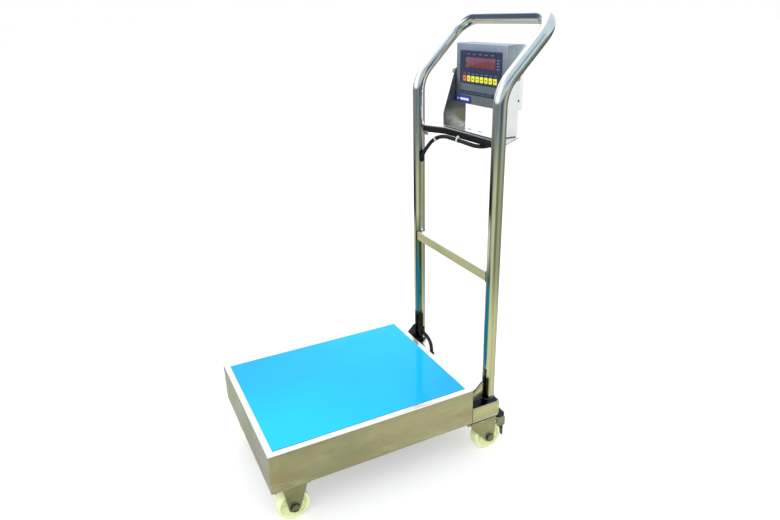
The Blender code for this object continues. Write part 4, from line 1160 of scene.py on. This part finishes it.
# Signal cable
LEAD_ROUTE = [(0.034, 0.306, 0.7945), (0.0341, 0.3061, 0.7880), (0.0385, 0.3080, 0.7820),
              (0.0500, 0.3115, 0.7785),
              (0.0650, 0.3155, 0.7745), (0.0730, 0.3180, 0.7655), (0.0670, 0.3178, 0.7555),
              (0.0520, 0.3168, 0.7495), (0.036, 0.314, 0.747)]
CABLE_ROUTE = [(0.038, 0.300, 0.744), (0.048, 0.285, 0.7438), (0.056, 0.269, 0.7433),
               (0.059, 0.255, 0.7427), (0.0545, 0.2435, 0.7424), (0.043, 0.2352, 0.7427),
               (0.0256, 0.2320, 0.7438), (0.0005, 0.2318, 0.7446), (-0.0245, 0.2318, 0.7450),
               (-0.052, 0.2318, 0.7452), (-0.078, 0.2315, 0.7450), (-0.098, 0.2285, 0.7423),
               (-0.114, 0.2235, 0.7360), (-0.127, 0.2180, 0.7258), (-0.138, 0.2125, 0.7113),
               (-0.147, 0.2083, 0.6975), (-0.1555, COLUMN_Y, 0.6850), (-0.164, COLUMN_Y, 0.6715),
               (-0.1695, COLUMN_Y, 0.655), (-COLUMN_X, COLUMN_Y, 0.626)]
CABLE_FALL = [(-COLUMN_X, COLUMN_Y, 0.238), (-0.1695, COLUMN_Y, 0.210), (-0.1655, COLUMN_Y, 0.1905),
              (-0.157, 0.2062, 0.1770), (-0.147, 0.2052, 0.1740), (-0.133, 0.2025, 0.1745),
              (-0.1165, 0.2000, 0.1755), (-0.103, 0.1975, 0.1745), (-0.0915, 0.195, 0.1715),
              (-0.081, 0.192, 0.1655), (-0.0745, 0.1895, 0.1560), (-0.0733, 0.1885, 0.1450),
              (-0.0733, 0.1865, 0.1350), (-0.0735, 0.180, 0.1265), (-0.0745, 0.168, 0.1232),
              (-0.076, 0.146, 0.123), (-0.076, 0.118, 0.1235), (-0.066, 0.080, 0.126),
              (-0.044, 0.038, 0.135), (-0.020, 0.010, 0.1455), (-0.005, -0.008, 0.1522),
              (0.0, -0.021, 0.1533), (0.0, -0.0304, 0.1533)]
LEFT_TIE, MIDDLE_TIE = 12, 8  # places along the route
SPAN_STEPS = 8


def make_cable():
    """One smooth cable, in two pieces: the lead is left free of any body and the rest stays still."""
    section = circle((0, 0), CABLE_RADIUS, 18)
    upper = smooth_route(LEAD_ROUTE + CABLE_ROUTE, SPAN_STEPS)
    joint = SPAN_STEPS * (len(LEAD_ROUTE) - 1)
    lead = piece("cable_lead", sweep(upper[:joint + 1], section), "black", "root",
                 ["indicator_lead"])
    lead.parent = None
    del lead["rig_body"]
    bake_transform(lead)
    rest = upper[joint:] + [Vector((-COLUMN_X, COLUMN_Y, 0.60 - 0.03 * i)) for i in range(11)]
    piece("cable_run", sweep(rest + smooth_route(CABLE_FALL, SPAN_STEPS), section), "black", "root",
          ["signal_cable"])
    make_tie("cable_tie_left", LEFT_TIE, "tie")
    make_tie("cable_tie_middle", MIDDLE_TIE, "tie_white")


def make_tie(node, at, material):
    """A strap round the cable with its lock and a cut tail."""
    before, centre, after = (Vector(p) for p in CABLE_ROUTE[at - 1:at + 2])
    inner, outer, half = CABLE_RADIUS + 0.0001, CABLE_RADIUS + 0.0013, 0.0022
    band = turned(both_ways([(half, inner), (half, outer - 0.0003), (half - 0.0003, outer)]), (0, 0, 0), "X",
                  40)
    lock = block((-0.0029, -0.0027, -outer - 0.0036), (0.0029, 0.0027, -inner), 0.0006)
    tail = block((-0.0016, -0.0006, -outer - 0.0052), (0.0016, 0.0004, -outer - 0.0030), 0.0002)
    shape = merge(band, lock, tail)
    turn = Vector((1, 0, 0)).rotation_difference(after - before).to_matrix().to_4x4()
    bmesh.ops.transform(shape, matrix=Matrix.Translation(centre) @ turn, verts=shape.verts[:])
    piece(f"{node}_strap", shape, material, "root", [node])


# Casters
def plate_with_bolts(name, x, y, node, extra):
    """A rounded mounting plate under the base with four bolts."""
    top, thick = CASTER_TOP, 0.003
    half_x, half_y = 0.030, 0.0465
    bolt_x, bolt_y = 0.0215, 0.0375
    plate = prism(rounded((x - half_x, y - half_y), (x + half_x, y + half_y), 0.006, 6), "Z", top - thick,
                  top, 0.0005)
    mount = piece(name, merge(plate, *extra), "fork", replaces=[node])
    # painted shade: the upper part of the plate's edge is nearly black, for the dark gap under the deck
    second_finish(mount, "painted_shade", lambda f: f.center.z > top - 0.0022 and f.normal.z < 0.5)
    bolts = []
    for dx in (-bolt_x, bolt_x):
        for dy in (-bolt_y, bolt_y):
            spot = (x + dx, y + dy)
            bolts.append(bolt_head((*spot, top - thick), "Z", -1, 0.0100, 0.0056, 0.0068))
            bolts.append(turned([(0, 0.0002), (0, 0.0029), (-0.0034, 0.0029), (-0.0040, 0.0024),
                                 (-0.0040, 0.0002)],
                                (*spot, top - thick - 0.0066), "Z", 20))
    piece(f"{name}_bolts", merge(*bolts), "zinc")


def fork_leg(x, sign, outline):
    """One leg of a fork, its edges rounded."""
    return prism(outline, "X", x + sign * FORK_INNER, x + sign * (FORK_INNER + FORK_SHEET), 0.0006, 2, 40)


def leg_outline(axle_y, top_front, top_rear, top_z, ear_z):
    foot = arc((axle_y, WHEEL_RADIUS), 0.0145, 200, 340, 12)
    return [(top_front, top_z), (top_front, ear_z)] + foot + [(top_rear, ear_z), (top_rear, top_z)]


def make_wheel(name, x, axle_y):
    """A nylon wheel: crowned tread, dished web with ribs, and a hub."""
    edge, web, hub = 0.014, 0.0085, 0.0155
    half = [(hub, 0.0046), (hub, 0.0102), (hub - 0.0010, 0.0112), (0.0105, 0.0122), (web, 0.0140),
            (web, 0.0270), (web + 0.0010, 0.0290), (edge - 0.0008, 0.0302), (edge, 0.0312), (edge, 0.0342),
            (edge - 0.0012, 0.0360), (0.0095, 0.0371), (0.005, WHEEL_RADIUS)]
    centre = (x, axle_y, WHEEL_RADIUS)
    shape = turned(both_ways(half), centre, "X", 72)
    piece(f"{name}_tyre", shape, "nylon", name, [name], smooth=40)
    ribs = []
    for i in range(6):
        for side in (-1, 1):
            rib = block((-0.0009, 0.0105, -0.0013), (0.0009, 0.0285, 0.0013), 0.0004)
            spot = (Matrix.Translation(Vector(centre) + Vector((side * (web + 0.0009), 0, 0)))
                    @ Matrix.Rotation(TAU * i / 6, 4, "X"))
            bmesh.ops.transform(rib, matrix=spot, verts=rib.verts[:])
            ribs.append(rib)
    piece(f"{name}_ribs", merge(*ribs), "nylon", name)


def make_axle(node, x, axle_y, outward, body):
    """The axle bolt: head and washer outside, washer and nut inside, with the thread's end."""
    face = FORK_INNER + FORK_SHEET + 0.0003
    centre = (axle_y, WHEEL_RADIUS)
    shapes = [turned(both_ways([(face, 0.0002), (face, 0.0039)]), (x, *centre), "X", 28)]
    for way, thick in ((outward, 0.0070), (-outward, 0.0074)):
        start = x + way * face
        shapes.append(turned([(0, 0.0042), (0, 0.0108), (way * 0.0010, 0.0108), (way * 0.0013, 0.0104),
                              (way * 0.0013, 0.0042)], (start, *centre), "X", 40))
        shapes.append(prism(hexagon(centre, 0.0170, 8), "X", start + way * 0.0013, start + way * thick,
                            0.0008, 2))
    end = x - outward * (face + 0.0074)
    shapes.append(turned([(0, 0.0002), (0, 0.0040), (-outward * 0.0004, 0.0039),
                          (-outward * 0.0005, 0.0002)],
                         (end, *centre), "X", 28))
    bolt = piece(f"{node}_set", merge(*shapes), "dark", body, [node])
    # painted highlight: the flat outer faces are lighter than the dark flanks
    second_finish(bolt, "bolt", lambda f: abs(f.normal.x) > 0.9 and abs(f.center.x - x) > face + 0.004)


def make_front_casters():
    for side, sign in SIDES:
        name = f"front_{side}_caster_fork"
        low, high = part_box(name)
        x, y = (low.x + high.x) / 2, (low.y + high.y) / 2
        top = 0.1052
        outline = leg_outline(FRONT_AXLE_Y, FRONT_AXLE_Y - 0.022, FRONT_AXLE_Y + 0.033, top, 0.090)
        legs = [fork_leg(x, way, outline) for way in (-1, 1)]
        brace = block((x - FORK_INNER, FRONT_AXLE_Y - 0.020, 0.1002),
                      (x + FORK_INNER, FRONT_AXLE_Y + 0.031, 0.1037),
                      0.0006)
        plate_with_bolts(f"front_{side}_fork", x, y, name, legs + [brace])
        make_wheel(f"front_{side}_wheel", x, FRONT_AXLE_Y)
        make_axle(f"front_{side}_axle_bolt", x, FRONT_AXLE_Y, sign, "root")


def make_rear_casters():
    crown_low, crown_high = 0.0945, 0.0975
    for side, sign in SIDES:
        low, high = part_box(f"rear_{side}_caster_plate")
        x = (low.x + high.x) / 2
        kingpin = (x, KINGPIN_Y)
        race = turned([(0.0978, 0.0080), (0.0978, 0.0205), (0.0990, 0.0222), (0.1005, 0.0226),
                       (0.1025, 0.0215), (0.1040, 0.0185), (0.1040, 0.0080)], (*kingpin, 0), "Z", 48)
        pin = turned([(0.0890, 0.0002), (0.0890, 0.0048), (0.1030, 0.0048), (0.1030, 0.0002)], (*kingpin, 0),
                     "Z", 24)
        nut = prism(hexagon(kingpin, 0.0155), "Z", 0.0850, 0.0932, 0.0006)
        collar = turned([(0.0932, 0.0055), (0.0932, 0.0098), (0.0940, 0.0098), (0.0942, 0.0055)],
                        (*kingpin, 0), "Z",
                        36)
        plate_with_bolts(f"rear_{side}_plate", x, KINGPIN_Y, f"rear_{side}_caster_plate",
                         [race, pin, nut, collar])

        body = f"rear_{side}_swivel"
        width = FORK_INNER + FORK_SHEET
        crown = prism(rounded((x - width, 0.150), (x + width, 0.2125), 0.004, 4), "Z", crown_low, crown_high,
                      0.0006)
        disc = turned([(crown_low, 0.0056), (crown_low, 0.0262), (crown_low + 0.0006, 0.0266),
                       (crown_high - 0.0008, 0.0266), (crown_high,
                                                       0.0258), (crown_high, 0.0056)], (*kingpin, 0), "Z",
                      48)
        outline = leg_outline(REAR_AXLE_Y, 0.150, 0.222, (crown_low + crown_high) / 2, 0.080)
        legs = [fork_leg(x, way, outline) for way in (-1, 1)]
        hole = prism(circle(kingpin, 0.0055, 24), "Z", crown_low - 0.01, crown_high + 0.01)
        crown = carve(crown, hole)
        piece(f"rear_{side}_fork", merge(crown, disc, *legs), "fork", body,
              [f"rear_{side}_caster_fork"])
        make_wheel(f"rear_{side}_wheel", x, REAR_AXLE_Y)
        make_axle(f"rear_{side}_axle_bolt", x, REAR_AXLE_Y, sign, body)
        make_pedal(side, x)


def make_pedal(side, x):
    """The brake pedal: pressed steel body with a shoe behind the wheel, and a ribbed black grip."""
    body = f"rear_{side}_brake_pedal"
    reach, width = FORK_INNER - 0.0003, FORK_INNER + FORK_SHEET
    barrel = turned(both_ways([(reach, 0.0030), (reach, 0.0044), (reach - 0.0004, 0.0048)]),
                    (x, PEDAL_Y, PEDAL_Z), "X", 32)
    flange = [(0.2260, 0.0832), (0.2285, 0.0600), (0.2305, 0.0580), (0.2480, 0.0580), (0.2500, 0.0600),
              (0.2500, 0.0832)]
    sides = [prism(flange, "X", x + way * FORK_INNER, x + way * width, 0.0006) for way in (-1, 1)]
    tread = block((x - width, 0.2250, 0.0815), (x + width, 0.2500, 0.0842), 0.0008)
    arm = block((x - reach, PEDAL_Y, 0.0819), (x + reach, 0.2300, 0.0850), 0.0006)
    back = block((x - width + 0.001, 0.2476, 0.0580), (x + width - 0.001, 0.2500, 0.0830), 0.0006)
    pressed = piece(f"{body}_plate", merge(barrel, arm, tread, back, *sides), "fork", body,
                    [body])
    # painted highlight: the pedal's upward faces are near white
    second_finish(pressed, "top", lambda f: f.normal.z > 0.4)
    shoe = [(0.2440, 0.0640), (0.2490, 0.0640), (0.2500, 0.0600), (0.2500, 0.0215), (0.2488, 0.0210),
            (0.2470, 0.0400), (0.2455, 0.0530)]
    piece(f"{body}_shoe", prism(shoe, "X", x - 0.012, x + 0.012, 0.0006), "dark", body)
    outline = [(0.2475, 0.0838)]
    for i in range(13):
        t = math.radians(180 * i / 12)
        r = 0.0090 - (0.0005 if i % 2 else 0)
        outline.append((0.2385 + r * math.cos(t), 0.0930 + r * math.sin(t)))
    outline.append((0.2295, 0.0838))
    piece(f"{body}_grip", prism(outline, "X", x - 0.018, x + 0.018, 0.0003, 1, 50), "rubber", body)


# Carried-over parts
def dress_frame_parts():
    """The inner CAD nodes keep their shape and get their own finish."""
    finishes = {"inner": ["base_rail_left", "base_rail_right", "base_front_crossmember", "load_cell_beam",
                          "load_cell_lower_spacer", "load_cell_upper_spacer", "spider_frame"],
                "aluminium": ["load_cell"],
                "rubber": ["pan_pad_front_left", "pan_pad_front_right", "pan_pad_rear_left",
                           "pan_pad_rear_right"],
                "green": ["circuit_board"],
                "battery": ["battery"]}
    for finish, nodes in finishes.items():
        for name in nodes:
            node = frame["nodes"][name]
            node.data.materials.clear()
            node.data.materials.append(MATERIALS[finish])


# Stage
CAMERA_PLACE = Vector((1.2016, -0.5602, 1.0309))
CAMERA_TURN, CAMERA_DOWN, CAMERA_ROLL = math.radians(63.81), math.radians(22.14), math.radians(-1.45)
FOCAL, SENSOR = 28.04, 36.0
LIGHTS = (("key_light", (1.6, -1.5, 2.6), 2.0, 34), ("fill_light", (-2.2, 0.6, 2.2), 2.4, 18))
LIT_SPOT = Vector((0, 0, 0.4))

# What the polished tubes see round the room, at four heights below the horizon.
# Each stop is an azimuth in turns and the red, green and blue there.
ROOM_HIGH = [(0.00, 0.14, 0.14, 0.13), (0.12, 0.11, 0.11, 0.11), (0.20, 0.34, 0.35, 0.34),
             (0.267, 0.34, 0.35, 0.35), (0.33, 0.19, 0.23, 0.29), (0.40, 0.19, 0.20, 0.18),
             (0.465, 0.22, 0.24, 0.20), (0.533, 0.13, 0.16, 0.15), (0.60, 0.17, 0.23, 0.25),
             (0.664, 0.17, 0.24, 0.29), (0.73, 0.025, 0.045, 0.065), (0.79, 0.16, 0.18, 0.19),
             (0.875, 0.50, 0.54, 0.50), (0.945, 0.30, 0.31, 0.28), (0.99, 0.14, 0.14, 0.13)]
ROOM_MIDDLE = [(0.00, 0.20, 0.19, 0.15), (0.12, 0.22, 0.22, 0.20), (0.20, 0.45, 0.46, 0.42),
               (0.28, 0.012, 0.013, 0.016), (0.42, 0.012, 0.012, 0.016), (0.465, 0.21, 0.22, 0.165),
               (0.52, 0.50, 0.53, 0.34), (0.62, 0.53, 0.58, 0.36), (0.66, 0.21, 0.24, 0.12),
               (0.715, 0.13, 0.15, 0.07), (0.77, 0.28, 0.30, 0.16), (0.86, 0.38, 0.37, 0.24),
               (0.93, 0.25, 0.24, 0.16)]
ROOM_WARM = [(0.00, 0.50, 0.49, 0.34), (0.18, 0.54, 0.54, 0.42), (0.30, 0.54, 0.58, 0.45),
             (0.44, 0.52, 0.56, 0.42), (0.50, 0.50, 0.54, 0.36), (0.60, 0.66, 0.68, 0.36),
             (0.70, 0.62, 0.63, 0.33), (0.77, 0.50, 0.49, 0.27), (0.84, 0.66, 0.65, 0.36),
             (0.93, 0.55, 0.54, 0.34)]
ROOM_LOW = [(0.00, 0.46, 0.44, 0.32), (0.18, 0.50, 0.50, 0.40), (0.27, 0.46, 0.46, 0.42),
            (0.36, 0.52, 0.53, 0.46), (0.46, 0.44, 0.46, 0.34), (0.60, 0.53, 0.55, 0.34),
            (0.68, 0.47, 0.48, 0.27), (0.80, 0.48, 0.47, 0.28), (0.92, 0.46, 0.45, 0.28)]
UNDERSIDE = (0.06, 0.06, 0.05)
SIDE_SKY = (0.50, 0.56, 0.58)
FRONT_SKY = (0.60, 0.67, 0.80)
SKY_COLOUR = (1.16, 1.18, 1.20)


def make_world():
    """White above, and below the horizon the room as the steel reflects it. The camera sees plain white."""
    world = bpy.data.worlds.new("studio")
    bpy.context.scene.world = world
    world.use_nodes = True
    nodes = Nodes(world.node_tree)
    nodes.tree.nodes.clear()

    def room(stops, turn):
        made = nodes.node("ShaderNodeValToRGB", Fac=turn)
        elements = made.color_ramp.elements
        while len(elements) < len(stops):
            elements.new(0.5)
        for element, (position, *_) in zip(elements, stops):
            element.position = position
        for element, (_, *colour) in zip(elements, stops):
            element.color = (*colour, 1)
        return made.outputs[0]

    def step(height, low, high):
        made = nodes.node("ShaderNodeMapRange", Value=height, From_Min=low, From_Max=high)
        made.interpolation_type = "SMOOTHSTEP"
        return made.outputs[0]

    place = nodes.node("ShaderNodeTexCoord").outputs["Generated"]
    x, y, height = nodes.node("ShaderNodeSeparateXYZ", Vector=place).outputs
    angle = nodes.math("ARCTAN2", x, nodes.times(y, -1.0))
    turn = nodes.plus(nodes.math("DIVIDE", angle, TAU), 0.5)
    edge = nodes.times(step(turn, 0.22, 0.27), step(turn, 0.45, 0.42))
    wide, sharp = step(height, -0.49, -0.37), step(height, -0.325, -0.29)
    middle = nodes.plus(nodes.times(edge, sharp), nodes.times(nodes.math("SUBTRACT", 1.0, edge), wide))
    lower = nodes.mix(step(height, -0.59, -0.55), room(ROOM_LOW, turn), room(ROOM_WARM, turn))
    lower = nodes.mix(middle, lower, room(ROOM_MIDDLE, turn))
    lower = nodes.mix(step(height, -0.27, -0.13), lower, room(ROOM_HIGH, turn))
    lower = nodes.mix(step(height, -0.92, -0.72), UNDERSIDE, lower)
    side = nodes.times(step(x, 0.30, 0.62), step(height, 0.80, 0.45))
    front = nodes.times(side, step(y, 0.30, 0.10))
    ahead = nodes.times(step(y, -0.22, -0.42), step(height, 0.62, 0.48))
    sky = nodes.mix(front, SKY_COLOUR, SIDE_SKY)
    sky = nodes.mix(nodes.times(ahead, step(x, -0.55, -0.72)), sky, FRONT_SKY)
    colour = nodes.mix(step(height, -0.03, 0.10), lower, sky)
    seen = nodes.node("ShaderNodeLightPath").outputs["Is Camera Ray"]
    background = nodes.node("ShaderNodeBackground", Color=nodes.mix(seen, colour, (1.0, 1.0, 1.0)))
    nodes.node("ShaderNodeOutputWorld", Surface=background.outputs[0])


def make_stage():
    """A pale floor, two soft lights and the camera."""
    scene = bpy.context.scene
    scene.view_settings.view_transform = "Standard"
    scene.view_settings.look = "None"

    bm = bmesh.new()
    bmesh.ops.create_grid(bm, x_segments=1, y_segments=1, size=40)
    floor = plain_object("studio_floor", bm)
    paint = Paint("studio_floor", (0.60, 0.60, 0.60), roughness=0.9, Specular_IOR_Level=0.05,
                  Emission_Color=(1, 1, 1, 1), Emission_Strength=0.42)
    paint.colour(paint.mix(paint.noise(0.8, 2.0), (0.59, 0.59, 0.59), (0.61, 0.61, 0.61)))
    floor.data.materials.append(paint.material)
    floor.visible_glossy = False

    for name, place, size, power in LIGHTS:
        data = bpy.data.lights.new(name, "AREA")
        data.energy, data.size = power, size
        light = bpy.data.objects.new(name, data)
        light.location = place
        light.rotation_mode = "QUATERNION"
        light.rotation_quaternion = (LIT_SPOT - Vector(place)).to_track_quat("-Z", "Y")
        light.visible_glossy = False
        scene.collection.objects.link(light)

    data = bpy.data.cameras.new("camera")
    data.lens, data.sensor_width = FOCAL, SENSOR
    camera = bpy.data.objects.new("camera", data)
    scene.collection.objects.link(camera)
    back = Vector((math.sin(CAMERA_TURN) * math.cos(CAMERA_DOWN),
                   -math.cos(CAMERA_TURN) * math.cos(CAMERA_DOWN),
                   math.sin(CAMERA_DOWN)))
    right = back.cross(Vector((0, 0, -1))).normalized()
    up = back.cross(right)
    across = math.cos(CAMERA_ROLL) * right + math.sin(CAMERA_ROLL) * up
    upward = math.cos(CAMERA_ROLL) * up - math.sin(CAMERA_ROLL) * right
    place = Matrix((across, upward, back)).transposed().to_4x4()
    place.translation = CAMERA_PLACE
    camera.matrix_world = place
    scene.camera = camera


MATERIALS = make_materials()
make_world()
make_stage()
make_pan()
make_film()
make_deck()
make_gussets()
make_handle()
make_crossbar()
make_shelf()
make_yoke()
make_clamp_screws()
make_housing()
make_panel()
make_labels()
make_gland()
make_cable()
make_front_casters()
make_rear_casters()
dress_frame_parts()
